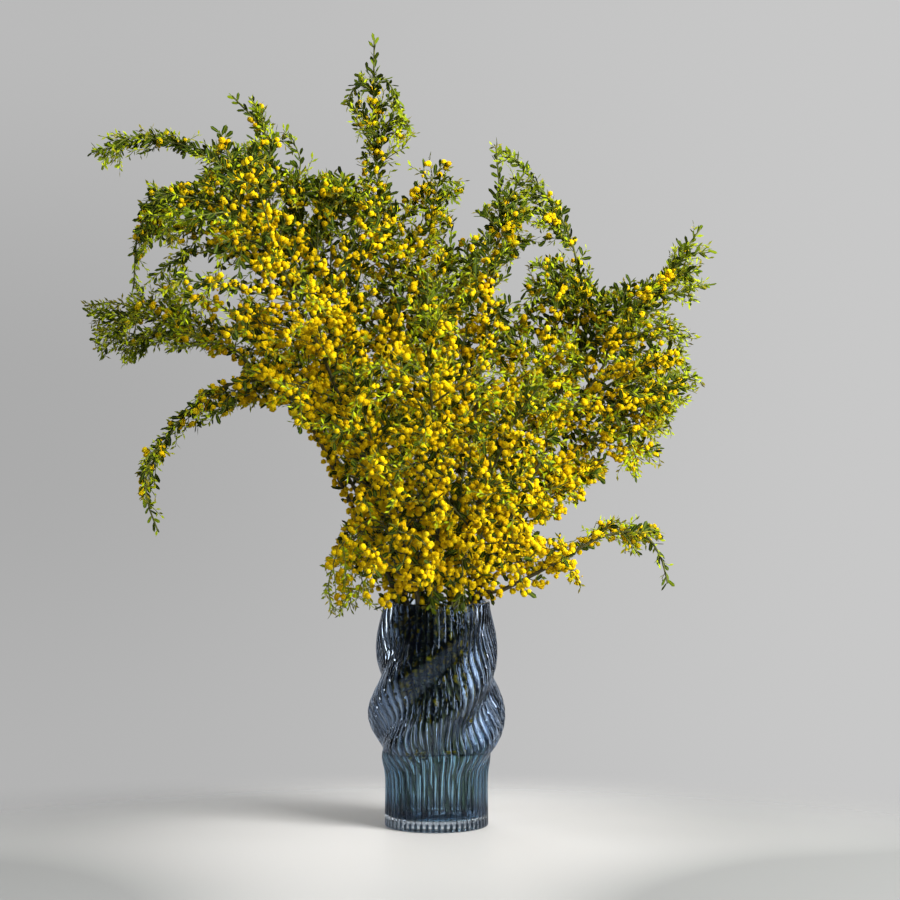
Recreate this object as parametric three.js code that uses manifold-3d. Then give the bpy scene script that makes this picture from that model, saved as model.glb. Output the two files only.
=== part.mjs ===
// Golden wattle branches standing in water in a twisted, ribbed glass vase.
// Millimetres, +Z up. The origin is the centre of the vase's foot and -Y faces the viewer.
import * as THREE from "three";
import { mergeVertices } from "three/addons/utils/BufferGeometryUtils.js";
import Module from "manifold-3d";

const wasm = await Module();
wasm.setup();

// ---------------------------------------------------------------- driving dimensions
const VASE_HEIGHT = 250;
const RIBS = 54; // upright ribs, each at its own constant angle
const RIB_DEPTH = 1.2;
const WALL = 5.0; // from the top of a rib to the smooth bore
const FLOOR = 11; // solid glass under the water
const LOBES = 4; // soft bulges that wind round the body
const LOBE_TURN = 90 / 82.2; // degrees a lobe winds round per millimetre of height
const LOBE_AT = 124.4; // height at which the lobes face left, right, front and back
const TROUGH_RADIUS = [[0, 57.8], [62, 57.8], [85, 59.6], [120, 59.8], [162, 61.5], [207, 60.5], [250, 59.4]]; // height, radius between lobes
const LOBE_SWELL = [[0, 0], [54, 0], [64, 0.7], [74, 3], [85, 6], [97, 7.8], [110, 8.4], [124, 8.4], [162, 6], [200, 3.6], [225, 2.6], [250, 1.4]]; // height, half a lobe's rise
const WATER_TOP = 85;
const GAP = 0.3; // clear space kept between any two bodies

const STEM_FOOT = 15; // height of the cut stem ends
const RING_OUTER = 44; // the stems cross the rim on two rings
const RING_INNER = 21;
const STEM_TWIST = 80; // degrees the bundle turns between foot and rim
const STEM_RADIUS = [2.6, 0.9]; // at the cut end and at the growing tip
const SHOOT_RADIUS = [1.25, 0.7];
const LEAF = { length: 13, half: 2.4, thick: 1.1, widest: 0.62 };
const HEAD = { radius: 4.4, stand: 5.0 };
const STEP = 4; // spacing of the points kept along a stem
const GOLDEN = 2.399963; // turn from one shoot, leaf or head to the next

// Where each branch crosses the rim (degrees from +X, then outer ring or inner).
const RIM_AT = {
  A: [193, 1], B: [168, 1], C: [218, 1], D: [141, 1], E: [180, 0], F: [108, 0], G: [252, 0], H: [324, 0], I: [5, 1],
  J: [32, 1], K: [333, 1], L: [243, 1], M: [298, 1], N: [269, 1], O: [112, 1], P: [66, 1], Q: [35, 0],
};
const NODE_NAMES = {
  A: "branch_left_low", B: "branch_left_reach", C: "branch_left_droop", D: "branch_left_high", E: "branch_left_upright",
  F: "branch_top", G: "branch_centre_right", H: "branch_right_bent", I: "branch_right_high", J: "branch_right_mid",
  K: "branch_right_low", L: "branch_front_left", M: "branch_front_right", N: "branch_front_mid", O: "branch_back_left",
  P: "branch_back_right", Q: "branch_back_up",
};
// The points each branch passes after the rim, up to its tip.
const PASSES = {
  A: [[-93,-25,357], [-160,-35,478], [-215,-42,492], [-266,-50,465], [-312,-52,399], [-315,-52,364], [-304,-52,331]],
  B: [[-99,25,386], [-199,35,504], [-294,30,557], [-390,20,571]],
  C: [[-77,-60,402], [-157,-90,596], [-229,-100,681], [-281,-108,694], [-315,-112,656], [-322,-110,592]],
  D: [[-76,60,428], [-156,80,627], [-231,85,734], [-310,80,768], [-391,70,755]],
  E: [[-60,-10,429], [-120,0,601], [-174,5,717], [-194,8,773], [-227,10,811]],
  F: [[-25,30,428], [-50,30,619], [-69,20,758], [-70,14,818], [-69,10,875]],
  G: [[35,-30,418], [61,-20,594], [70,-14,683], [66,-10,751]],
  H: [[89,10,401], [163,15,534], [153,10,640], [121,6,701], [77,4,750]],
  I: [[104,0,384], [179,0,501], [240,5,589], [293,5,663]],
  J: [[110,40,360], [188,60,439], [242,65,482], [296,60,501]],
  K: [[72,-35,264], [130,-40,294], [179,-40,322], [223,-38,328], [245,-36,303], [254,-35,272]],
  L: [[-47,-95,355], [-73,-150,452], [-88,-190,514]],
  M: [[41,-100,344], [78,-160,442], [107,-205,488]],
  N: [[1,-110,388], [-8,-170,525], [-8,-200,602]],
  O: [[-63,100,375], [-115,165,499], [-157,210,571]],
  P: [[50,100,364], [102,165,482], [142,215,530]],
  Q: [[5,100,418], [11,150,578], [17,172,676]],
};
// Side shoots that make the outline: the branch they leave, then the points they pass.
const SIDE_SHOOTS = [
  ["A", [[-108,-28,396], [-128,-60,413], [-152,-72,430], [-159,-74,437]]],
  ["A", [[-101,-26,374], [-107,-50,392], [-111,-56,379]]],
  ["A", [[-191,-40,489], [-200,-55,501], [-209,-62,504]]],
  ["A", [[-234,-45,484], [-251,-66,482], [-266,-74,469]]],
  ["A", [[-295,-50,429], [-310,-70,413], [-320,-74,391]]],
  ["B", [[-249,34,531], [-308,10,564], [-352,-8,559], [-375,-18,542]]],
  ["B", [[-266,33,543], [-319,58,538], [-351,66,521]]],
  ["B", [[-321,27,567], [-357,30,582], [-396,34,579]]],
  ["B", [[-196,35,504], [-233,-20,534], [-280,-45,530], [-301,-50,525]]],
  ["B", [[-154,32,456], [-200,80,498], [-245,110,517], [-269,120,522]]],
  ["B", [[-249,34,535], [-281,70,566], [-329,90,584], [-350,95,582]]],
  ["C", [[-247,-102,690], [-279,-130,665], [-298,-142,622], [-301,-142,610]]],
  ["C", [[-218,-98,672], [-254,-80,650], [-273,-70,622], [-277,-66,601]]],
  ["C", [[-262,-105,695], [-290,-92,705], [-316,-84,708]]],
  ["C", [[-199,-96,650], [-233,-135,619], [-251,-150,588], [-289,-155,578]]],
  ["C", [[-186,-96,639], [-211,-140,668], [-240,-165,666], [-266,-172,658]]],
  ["D", [[-304,80,768], [-347,60,771], [-373,50,746], [-378,46,730]]],
  ["D", [[-282,83,765], [-330,100,762], [-357,108,736]]],
  ["D", [[-242,85,744], [-256,70,774], [-280,62,786]]],
  ["D", [[-225,85,729], [-235,100,772], [-265,106,796]]],
  ["D", [[-200,84,696], [-206,60,745], [-213,50,762]]],
  ["E", [[-160,4,689], [-152,20,741], [-170,26,774]]],
  ["E", [[-152,3,667], [-161,-25,726], [-184,-34,747]]],
  ["E", [[-135,0,634], [-112,-15,694], [-100,-22,719]]],
  ["E", [[-118,0,595], [-120,30,675], [-140,45,743]]],
  ["F", [[-68,21,741], [-47,0,785], [-9,-15,757], [30,-24,704]]],
  ["F", [[-70,14,816], [-88,25,826], [-98,32,809], [-101,36,774]]],
  ["F", [[-65,22,730], [-86,40,754], [-100,50,791]]],
  ["F", [[-58,26,680], [-41,50,721], [-36,60,756], [-53,66,802]]],
  ["F", [[-61,25,691], [-93,-10,694], [-108,-26,717]]],
  ["F", [[-50,30,619], [-7,5,678], [4,-6,716], [22,-12,688]]],
  ["G", [[68,-16,655], [52,-35,686], [50,-42,713]]],
  ["G", [[69,-14,677], [87,-30,705], [96,-36,722]]],
  ["G", [[59,-20,583], [37,0,628], [35,10,671], [51,14,700]]],
  ["G", [[65,-18,627], [93,10,651], [104,20,627], [91,24,596]]],
  ["H", [[163,15,551], [136,-15,600], [108,-30,624], [92,-36,628]]],
  ["H", [[162,13,584], [183,30,628], [172,38,657]]],
  ["H", [[144,9,664], [150,-10,685], [136,-18,709]]],
  ["H", [[163,15,534], [139,45,586], [126,58,629], [135,62,654]]],
  ["I", [[226,4,571], [260,-20,616], [279,-28,631], [303,-34,639]]],
  ["I", [[237,5,584], [284,24,598], [310,32,604]]],
  ["I", [[262,5,620], [267,12,647], [276,14,656]]],
  ["I", [[209,2,543], [193,-25,587], [177,-36,617]]],
  ["I", [[202,2,532], [235,-30,550], [277,-48,562], [289,-52,540]]],
  ["I", [[221,3,562], [215,30,608], [252,44,629]]],
  ["J", [[208,62,459], [251,30,520], [283,16,529], [297,10,538]]],
  ["J", [[199,61,450], [240,30,464], [266,15,451], [277,10,428]]],
  ["J", [[185,60,437], [233,90,444], [262,104,418], [271,108,396]]],
  ["J", [[168,58,419], [205,20,437], [220,4,415], [223,0,391]]],
  ["J", [[231,65,475], [270,90,479], [291,100,461]]],
  ["K", [[168,-40,315], [192,-55,340], [213,-62,347]]],
  ["K", [[136,-40,295], [147,-70,289], [157,-82,266], [153,-86,239]]],
  ["K", [[201,-39,327], [209,-60,321], [215,-68,304]]],
  ["K", [[152,-40,305], [179,-10,329], [207,4,332]]],
  ["K", [[223,-38,328], [241,-24,330], [260,-18,301]]],
  ["L", [[-37,-78,316], [-68,-105,345], [-100,-122,319], [-114,-126,277], [-108,-126,248]]],
  ["L", [[-41,-85,333], [-80,-70,332], [-99,-62,299], [-92,-60,250]]],
  ["L", [[-34,-70,300], [-60,-100,318], [-79,-112,286], [-72,-114,260]]],
  ["L", [[-55,-112,388], [-88,-140,431], [-111,-152,447], [-119,-156,431]]],
  ["N", [[2,-62,299], [0,-85,317], [-4,-98,280], [-6,-98,246]]],
  ["M", [[17,-62,299], [28,-86,314], [28,-96,280], [23,-96,248]]],
];
// Front outline of the whole spray at the vase's axis (x, z), then the gaps the background shows through.
const OUTLINE = [
  [
    [-71,877], [-62,872], [-63,838], [-48,823], [-34,785], [-22,769], [2,761], [20,723], [34,715],
    [22,690], [22,668], [7,654], [11,640], [53,662], [43,683], [62,691], [49,710], [67,707], [74,715],
    [71,737], [57,738], [58,755], [68,762], [106,736], [107,727], [131,705], [130,697], [147,689],
    [144,679], [149,664], [158,660], [157,647], [169,641], [164,628], [182,624], [172,607], [179,596],
    [198,595], [207,606], [217,605], [224,612], [243,607], [252,617], [248,630], [261,638], [264,648],
    [276,645], [286,651], [276,663], [279,670], [294,669], [303,658], [306,623], [296,622], [292,612],
    [307,609], [306,601], [292,595], [288,579], [254,575], [286,549], [297,550], [290,536], [279,530],
    [277,518], [297,493], [287,476], [264,461], [264,443], [276,426], [255,432], [244,428], [262,394],
    [235,403], [222,386], [211,394], [199,385], [201,398], [191,403], [183,376], [165,376], [163,361],
    [148,354], [142,341], [111,331], [116,321], [135,323], [172,342], [203,341], [212,354], [219,354],
    [227,339], [249,328], [249,319], [266,301], [252,265], [241,312], [231,313], [223,299], [211,304],
    [203,289], [191,295], [186,306], [168,308], [154,297], [162,264], [159,252], [167,241], [157,228],
    [141,229], [139,236], [149,243], [149,251], [129,269], [112,265], [102,251], [88,263], [71,262],
    [61,238], [-61,238], [-85,245], [-95,227], [-104,233], [-116,229], [-128,261], [-121,280],
    [-129,287], [-110,314], [-111,323], [-92,343], [-89,367], [-102,387], [-112,375], [-119,377],
    [-116,410], [-122,432], [-145,444], [-164,433], [-167,439], [-156,454], [-162,465], [-221,466],
    [-254,445], [-282,436], [-286,422], [-308,401], [-312,361], [-304,347], [-307,323], [-322,357],
    [-334,366], [-330,403], [-314,419], [-312,438], [-301,443], [-300,459], [-278,462], [-264,483],
    [-223,493], [-210,513], [-217,521], [-238,518], [-265,531], [-292,523], [-302,534], [-346,512],
    [-353,525], [-372,518], [-382,538], [-378,552], [-391,558], [-386,570], [-394,580], [-341,587],
    [-338,602], [-343,612], [-334,625], [-338,642], [-334,667], [-329,671], [-332,687], [-321,701],
    [-330,720], [-291,709], [-264,715], [-260,723], [-267,740], [-303,754], [-323,743], [-333,746],
    [-346,722], [-362,734], [-373,729], [-372,744], [-386,748], [-374,759], [-377,769], [-348,775],
    [-331,772], [-323,779], [-289,770], [-277,787], [-265,790], [-259,785], [-248,788], [-242,777],
    [-231,774], [-228,762], [-209,756], [-201,775], [-211,798], [-231,809], [-231,815], [-215,816],
    [-193,801], [-179,776], [-156,775], [-144,765], [-143,748], [-131,742], [-141,731], [-137,722],
    [-102,729], [-97,717], [-87,712], [-83,758], [-102,767], [-94,785], [-102,809], [-98,822],
    [-80,840], [-80,857],
  ],
  [
    [113,647], [108,640], [95,644], [89,638], [91,629], [82,622], [86,612], [67,594], [73,582],
    [96,592], [103,628], [111,635], [122,628], [130,632], [123,647],
  ],
  [
    [-303,650], [-312,649], [-324,633], [-314,615], [-306,619], [-294,642],
  ],
  [
    [-43,728], [-52,715], [-52,703], [-47,697], [-29,697], [-23,719], [-33,728],
  ],
  [
    [-265,637], [-277,629], [-272,612], [-243,622], [-252,636],
  ],
  [
    [-173,754], [-180,747], [-177,726], [-168,726], [-163,737], [-164,750],
  ],
  [
    [-263,773], [-263,759], [-242,760], [-246,768],
  ],
];
// Which of the shoots by rule each branch shows, and the spacing of leaves and heads along a shoot.
const RULE_SHOOTS = {
  A: [12], B: [16], C: [14, 18, 11, 6, 13, 16, 8, 15, 12, 9, 19],
  D: [17, 14, 19, 11, 12, 15, 18, 6, 16, 1, 20, 7, 25], E: [18, 13, 10, 6],
  F: [12, 7, 20, 15, 13, 22, 11], G: [10, 14], H: [9, 8, 18], I: [7, 3, 9, 4], J: [1, 3, 8], K: [5],
  L: [5, 4, 0], M: [2, 5, 6], N: [12, 8, 7], O: [7, 9, 12], P: [1, 6, 4, 8], Q: [6, 10, 3, 11, 7, 15],
};
const ITEM_GAP = 36;

// ---------------------------------------------------------------- helpers
const V = (x, y, z) => new THREE.Vector3(x, y, z);
const UP = V(0, 0, 1);
const rad = THREE.MathUtils.degToRad;
const along = (a, b, f) => new THREE.Vector3().lerpVectors(a, b, f);
const plus = (a, b, k = 1) => a.clone().addScaledVector(b, k);
const lookUp = (rows, x) => {
  const i = Math.max(1, rows.findIndex(([at]) => x <= at));
  return THREE.MathUtils.mapLinear(x, rows[i - 1][0], rows[i][0], rows[i - 1][1], rows[i][1]);
};
// Repeatable draw in 0..1 from three whole numbers.
const draw = (i, j, k) => {
  let x = (i * 7919 + j * 104729 + k * 1299709 + 12345) % 2147483647;
  for (let n = 0; n < 3; n++) x = (x * 48271) % 2147483647;
  return x / 2147483647;
};
// A closed geometry as a solid, and back.
const solidOf = (geometry) => {
  const g = geometry.clone();
  g.deleteAttribute("normal");
  g.deleteAttribute("uv");
  const merged = mergeVertices(g, 1e-4);
  return new wasm.Manifold(new wasm.Mesh({
    numProp: 3, vertProperties: merged.attributes.position.array, triVerts: new Uint32Array(merged.index.array),
  }));
};
const geometryOf = (body) => {
  const { numProp, numVert, vertProperties, triVerts } = body.getMesh(), at = new Float32Array(numVert * 3);
  for (let i = 0; i < numVert; i++) at.set(vertProperties.subarray(i * numProp, i * numProp + 3), i * 3);
  return new THREE.BufferGeometry().setAttribute("position", new THREE.BufferAttribute(at, 3))
    .setIndex(new THREE.BufferAttribute(new Uint32Array(triVerts), 1));
};
const faceted = (points, faces) => new THREE.BufferGeometry().setFromPoints(points).setIndex(faces.flat());

// ---------------------------------------------------------------- the vase and the water
// Radius over the ribs: the trough radius plus a swell that peaks on each lobe. The angle is in degrees from
// the front (-Y) toward +X.
const crestRadius = (angle, z) =>
  lookUp(TROUGH_RADIUS, z) + lookUp(LOBE_SWELL, z) * (1 + Math.cos(rad(LOBES * (angle - (z - LOBE_AT) * LOBE_TURN))));
const boreRadius = (angle, z) => crestRadius(angle, z) - WALL;
const GLASS_LEVELS = [0, 56, 70, WATER_TOP, 104, 124, 143, 162, 184, 207, 230, VASE_HEIGHT];
// A lathe through the levels, stood upright, with every point then moved out to a radius of its own.
const turned = (levels, segments, radius) => {
  const profile = [new THREE.Vector2(0, levels[0]), ...levels.map((z) => new THREE.Vector2(50, z)), new THREE.Vector2(0, levels[levels.length - 1])];
  const g = new THREE.LatheGeometry(profile, segments).rotateX(Math.PI / 2), at = g.attributes.position;
  for (let i = 0; i < at.count; i++) {
    const x = at.getX(i), y = at.getY(i), z = at.getZ(i), r = Math.hypot(x, y);
    if (r < 1) continue;
    const angle = THREE.MathUtils.euclideanModulo(THREE.MathUtils.radToDeg(Math.atan2(x, -y)), 360);
    const out = radius(angle, z, Math.round((angle * segments) / 360));
    at.setXYZ(i, (x / r) * out, (y / r) * out, z);
  }
  return solidOf(g);
};
const outside = turned(GLASS_LEVELS, RIBS * 2, (angle, z, column) =>
  crestRadius(angle, z) - (column % 2 ? RIB_DEPTH : 0) - (z === VASE_HEIGHT ? RIB_DEPTH : 0));
const boreLevels = [FLOOR, ...GLASS_LEVELS.slice(1)];
const bore = turned([...boreLevels, VASE_HEIGHT + 1], RIBS * (2 / 3), (angle, z) =>
  boreRadius(angle, Math.min(z, VASE_HEIGHT)) + (z >= VASE_HEIGHT ? 0.8 : 0));
const vase = outside.subtract(bore);

// ---------------------------------------------------------------- stems and shoots
// Smooth line through the points, cut into even steps.
const stemLine = (points) => {
  const line = new THREE.CatmullRomCurve3(points, false, "catmullrom", 0.5);
  return line.getSpacedPoints(Math.max(2, Math.floor(line.getLength() / STEP + 0.5)));
};
const tangentAt = (path, i) =>
  path[Math.min(i + 1, path.length - 1)].clone().sub(path[Math.max(i - 1, 0)]).normalize();
// Unit vector square to t, turned round it from the level direction.
const sideways = (t, turn) => {
  let level = t.clone().cross(UP);
  if (level.length() < 0.2) level = t.clone().cross(V(0, 1, 0));
  level.normalize();
  return level.clone().multiplyScalar(Math.cos(turn)).addScaledVector(level.clone().cross(t), Math.sin(turn));
};
const leaning = (t, turn, open) => t.clone().multiplyScalar(Math.cos(open)).addScaledVector(sideways(t, turn), Math.sin(open));
// Waypoints of a shoot that leaves p at an open angle and sinks toward its tip.
const bough = (p, t, turn, open, length, droop) => {
  const d = leaning(t, turn, open);
  return [p, ...[0.33, 0.67, 1].map((f) => plus(plus(plus(p, d, length * f), t, length * 0.12 * f * f), UP, -length * droop * f * f))];
};
// Whether a point falls inside the spray's outline as seen from 2.7 m in front.
const insideOutline = (x, z) => {
  let hits = 0;
  for (const ring of OUTLINE)
    ring.forEach(([x0, z0], i) => {
      const [x1, z1] = ring[(i + 1) % ring.length];
      if (z0 > z !== z1 > z && x0 + ((z - z0) * (x1 - x0)) / (z1 - z0) > x) hits++;
    });
  return hits % 2 === 1;
};
const fits = (p, room) => {
  const f = 2744 / (2744 + p.y), x = 15 + (p.x - 15) * f, z = 473 + (p.z - 473) * f;
  return insideOutline(x + room, z) && insideOutline(x - room, z) && insideOutline(x, z + room) && insideOutline(x, z - room);
};
const trimmed = (path, room, least) => {
  const n = path.findIndex((p) => !fits(p, room));
  return n < 0 ? path : n >= least ? path.slice(0, n) : null;
};
// A tapering stem of a few flat sides, its rings carried along without twist.
const stemGeometry = (points, radii, sides) => {
  let side = null;
  const corners = points.flatMap((p, i) => {
    const t = tangentAt(points, i);
    side ??= Math.abs(t.z) > 0.5 ? V(1, 0, 0) : V(0, 0, 1);
    side = plus(side, t, -side.dot(t)).normalize();
    const other = t.clone().cross(side);
    return Array.from({ length: sides }, (_, k) =>
      plus(plus(p, side, radii[i] * Math.cos((2 * Math.PI * k) / sides)), other, radii[i] * Math.sin((2 * Math.PI * k) / sides)));
  });
  const faces = [], end = corners.length - sides;
  for (let r = 0; r < end; r += sides)
    for (let i = 0; i < sides; i++) {
      const a = r + i, b = r + ((i + 1) % sides);
      faces.push([a, b, b + sides], [a, b + sides, a + sides]);
    }
  for (let i = 1; i + 1 < sides; i++) faces.push([0, i + 1, i], [end, end + i, end + i + 1]);
  return faceted(corners, faces);
};
// A phyllode: a flat lozenge with its root sunk in the twig.
const leafGeometry = (p, d, w, size) => {
  const n = d.clone().cross(w), wide = plus(plus(p, d, LEAF.length * LEAF.widest * size), n, -LEAF.thick / 2);
  const root = plus(plus(p, d, -0.5), n, LEAF.thick * 0.3), tip = plus(plus(p, d, LEAF.length * size), n, LEAF.thick / 2);
  return faceted([root, tip, plus(wide, w, LEAF.half * size), plus(wide, w, -LEAF.half * size)], [[0, 2, 1], [0, 1, 3], [0, 3, 2], [1, 2, 3]]);
};
// A flower head: an eight-sided ball, its lowest corner drawn down into the twig.
const headGeometry = (p, d, w) => {
  const g = new THREE.OctahedronGeometry(HEAD.radius), at = g.attributes.position;
  for (let i = 0; i < at.count; i++) if (at.getY(i) < -HEAD.radius / 2) at.setY(i, -HEAD.stand);
  const turn = new THREE.Matrix4().makeBasis(w, d, w.clone().cross(d));
  return g.applyMatrix4(turn.setPosition(plus(p, d, HEAD.stand)));
};

// ---------------------------------------------------------------- clear space
// Shortest distance between two straight rods' centre lines.
const rodGap = (one, two) => {
  const u = one.b.clone().sub(one.a), v = two.b.clone().sub(two.a), w = one.a.clone().sub(two.a);
  const a = u.dot(u), b = u.dot(v), c = v.dot(v), d = u.dot(w), e = v.dot(w), square = a * c - b * b;
  const share = (x) => THREE.MathUtils.clamp(x, 0, 1);
  let s = square > 1e-9 ? share((b * e - c * d) / square) : 0;
  let t = c > 1e-9 ? share((b * s + e) / c) : 0;
  s = a > 1e-9 ? share((b * t - d) / a) : 0;
  t = c > 1e-9 ? share((b * s + e) / c) : 0;
  return plus(one.a, u, s).distanceTo(plus(two.a, v, t));
};
// Every rod placed so far, found again through a coarse grid of cells.
const CELL = 40, cells = new Map();
const cellsOf = ({ a, b, r }, room) => {
  const lo = a.clone().min(b).subScalar(r + room).divideScalar(CELL).floor();
  const hi = a.clone().max(b).addScalar(r + room).divideScalar(CELL).floor(), out = [];
  for (let i = lo.x; i <= hi.x; i++) for (let j = lo.y; j <= hi.y; j++) for (let k = lo.z; k <= hi.z; k++) out.push(`${i},${j},${k}`);
  return out;
};
const place = (rod) => cellsOf(rod, 0).forEach((c) => cells.set(c, [...(cells.get(c) ?? []), rod]));
const clearOfBranches = (rod) => cellsOf(rod, 1).every((c) =>
  (cells.get(c) ?? []).every((other) => other.branch === rod.branch || rodGap(rod, other) >= rod.r + other.r + GAP + 0.1));
// Clear of the glass: inside the bore, outside the wall or above the rim.
const clearOfVase = ({ a, b, r }) => {
  for (let f = 0; f <= 1; f += 0.1) {
    const p = along(a, b, f), out = Math.hypot(p.x, p.y), need = r + GAP + 0.2;
    if (p.z > VASE_HEIGHT + need || out > 80 + need) continue;
    const angle = THREE.MathUtils.radToDeg(Math.atan2(p.x, -p.y));
    for (const dz of [-6, 0, 6]) {
      const z = THREE.MathUtils.clamp(p.z + dz, FLOOR, VASE_HEIGHT);
      if (out + need > boreRadius(angle, z) && out - need < crestRadius(angle, z)) return false;
    }
  }
  return true;
};
const rodsAlong = (g, points, radii) =>
  points.slice(1).map((b, i) => ({ branch: g.index, a: points[i], b, r: Math.max(radii[i], radii[i + 1]) }));

// ---------------------------------------------------------------- growing the branches
const at = (degrees, r, z) => V(r * Math.cos(rad(degrees)), r * Math.sin(rad(degrees)), z);
const grown = Object.entries(PASSES).map(([key, passes], index) => {
  const [degrees, outer] = RIM_AT[key], ring = outer ? RING_OUTER : RING_INNER;
  const foot = at(degrees - STEM_TWIST, ring * 0.97, STEM_FOOT), rim = at(degrees, ring, VASE_HEIGHT);
  const path = stemLine([foot, along(foot, rim, 0.5), rim, ...passes.map((p) => V(...p))]);
  // straight up through the vase, then a facet about every 60 mm
  const neck = path.findIndex((p) => p.z > 205), last = path.length - 1, facets = Math.max(3, Math.round((last - neck) / 15));
  const picks = [0, ...Array.from({ length: facets + 1 }, (_, i) => Math.round(neck + ((last - neck) * i) / facets))];
  const stem = picks.map((i) => path[i]), radii = picks.map((i) => THREE.MathUtils.lerp(...STEM_RADIUS, i / last));
  return { key, index, path, stem, radii, shoots: [], parts: [solidOf(stemGeometry(stem, radii, 4))] };
});
for (const g of grown)
  for (const rod of rodsAlong(g, g.stem, g.radii)) {
    if (!clearOfBranches(rod)) throw new Error(`the stem of ${g.key} touches another`);
    place(rod);
  }
// Nearest point on the faceted stem, so that every shoot is rooted in wood.
const onStem = (stem, p) => stem.slice(1)
  .map((b, i) => new THREE.Line3(stem[i], b).closestPointToPoint(p, true, V()))
  .reduce((best, q) => (q.distanceTo(p) < best.distanceTo(p) ? q : best));
// A shoot is kept up to where it would come too near another branch or the glass.
const addShoot = (g, path, least) => {
  const pieces = THREE.MathUtils.clamp(Math.round(path.length / 10), 2, 3);
  const picks = Array.from({ length: pieces + 1 }, (_, i) => path[Math.round(((path.length - 1) * i) / pieces)]);
  const radii = picks.map((_, i) => THREE.MathUtils.lerp(...SHOOT_RADIUS, i / pieces));
  picks[0] = onStem(g.stem, picks[0]);
  const rods = rodsAlong(g, picks, radii);
  const stop = rods.findIndex((rod) => !clearOfBranches({ ...rod, r: rod.r + 0.4 }) || !clearOfVase(rod));
  const n = stop < 0 ? rods.length : stop;
  if (n < least) return false;
  rods.slice(0, n).forEach(place);
  g.parts.push(solidOf(stemGeometry(picks.slice(0, n + 1), radii, 3)));
  g.shoots.push(picks.slice(0, n + 1));
  return true;
};
for (const [key, points] of SIDE_SHOOTS) {
  const g = grown.find((one) => one.key === key), [first, ...rest] = points.map((p) => V(...p));
  const near = g.path.reduce((best, p) => (p.distanceTo(first) < best.distanceTo(first) ? p : best));
  const path = trimmed(stemLine([near, ...rest]), 1, 4);
  if (path) addShoot(g, path, 1);
}
for (const g of grown) {
  const found = new Map(), rim = g.path.findIndex((p) => p.z > 262);
  for (let i = rim + Math.floor(3 * draw(g.index, 0, 1)), n = 0; i < g.path.length - 12; n++) {
    const left = (g.path.length - 1 - i) * STEP, t = tangentAt(g.path, i);
    const [a, b, c, next] = [2, 3, 4, 5].map((k) => draw(g.index, n, k));
    const length = THREE.MathUtils.clamp((0.28 + 0.34 * a) * left + 22, 38, 150);
    const path = trimmed(stemLine(bough(g.path[i], t, n * GOLDEN + g.index, rad(38 + 20 * b), length, 0.1 + 0.28 * c * Math.hypot(t.x, t.y))), 5, 4);
    if (path) found.set(n, path);
    i += 4 + Math.floor(4 * next) + (g.path[i].z < 400 ? 2 : 0);
  }
  for (const n of RULE_SHOOTS[g.key]) if (found.has(n)) addShoot(g, found.get(n), 1);
}

// ---------------------------------------------------------------- leaves and flower heads
const lengthOf = (points) => points.slice(1).reduce((s, p, i) => s + p.distanceTo(points[i]), 0);
const onLine = (points, s) => {
  for (let i = 1; ; i++) {
    const l = points[i].distanceTo(points[i - 1]);
    if (s <= l || i === points.length - 1) return [along(points[i - 1], points[i], Math.min(1, s / l)), points[i].clone().sub(points[i - 1]).normalize()];
    s -= l;
  }
};
const settle = (g, rod, geometry) => {
  if (!clearOfBranches(rod) || !clearOfVase(rod)) return false;
  place(rod);
  g.parts.push(solidOf(geometry));
  return true;
};
const addLeaf = (g, p, t, turn, open, size) => {
  const d = leaning(t, turn, open).normalize(), w = d.clone().cross(open > 0.05 ? t : V(0, 1, 0)).normalize();
  const rod = { branch: g.index, a: plus(p, d, 1.5), b: plus(p, d, LEAF.length * size), r: 1.6 };
  return settle(g, rod, leafGeometry(p, d, w, size));
};
const addHead = (g, p, t, turn) => {
  const d = leaning(t, turn, rad(72)).normalize(), c = plus(p, d, HEAD.stand);
  return settle(g, { branch: g.index, a: c, b: c, r: HEAD.radius }, headGeometry(p, d, d.clone().cross(t).normalize()));
};
// Heads two for each leaf along a shoot, then leaves alone toward its tip. Each is turned until it is clear.
const dress = (g, points, from, to, gap, headsUntil, seed) => {
  const total = lengthOf(points);
  for (let s = from, n = 0; s < to; s += gap, n++) {
    const [p, t] = onLine(points, s), turn = n * GOLDEN + seed, head = s / total < headsUntil && n % 3 !== 2;
    for (let k = 0; k < 4; k++)
      if (head ? addHead(g, p, t, turn + k * 1.4) : addLeaf(g, p, t, turn + k * 1.4, 0.85, 0.85 + 0.3 * draw(g.index, n, seed))) break;
  }
};
for (const g of grown) {
  const total = lengthOf(g.stem), inGlass = g.stem[1].distanceTo(g.stem[0]);
  for (const points of [g.stem, ...g.shoots]) addLeaf(g, points[points.length - 1], onLine(points, 1e9)[1], 0, 0.02, points === g.stem ? 1 : 0.9);
  g.shoots.forEach((points, n) => dress(g, points, 12, lengthOf(points) - 7, ITEM_GAP, 0.72, n + 2));
  dress(g, g.stem, inGlass + 50, total - 8, ITEM_GAP * 1.25, 0.8, 1);
  dress(g, g.stem, inGlass * 0.62, inGlass + 20, 46, 2, 7);
}

// ---------------------------------------------------------------- the group
const glass = new THREE.MeshStandardMaterial({ color: 0x5f7590, roughness: 0.05, metalness: 0, transparent: true, opacity: 0.4 });
const clear = new THREE.MeshStandardMaterial({ color: 0x6d8b95, roughness: 0.02, metalness: 0, transparent: true, opacity: 0.35 });
const wattle = new THREE.MeshStandardMaterial({ color: 0x9a8f1c, roughness: 0.8, metalness: 0 });
const spray = new THREE.Group();
const addNode = (name, body, material) => {
  const mesh = new THREE.Mesh(geometryOf(body), material);
  mesh.name = name;
  spray.add(mesh);
};
addNode("vase", vase, glass);
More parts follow.
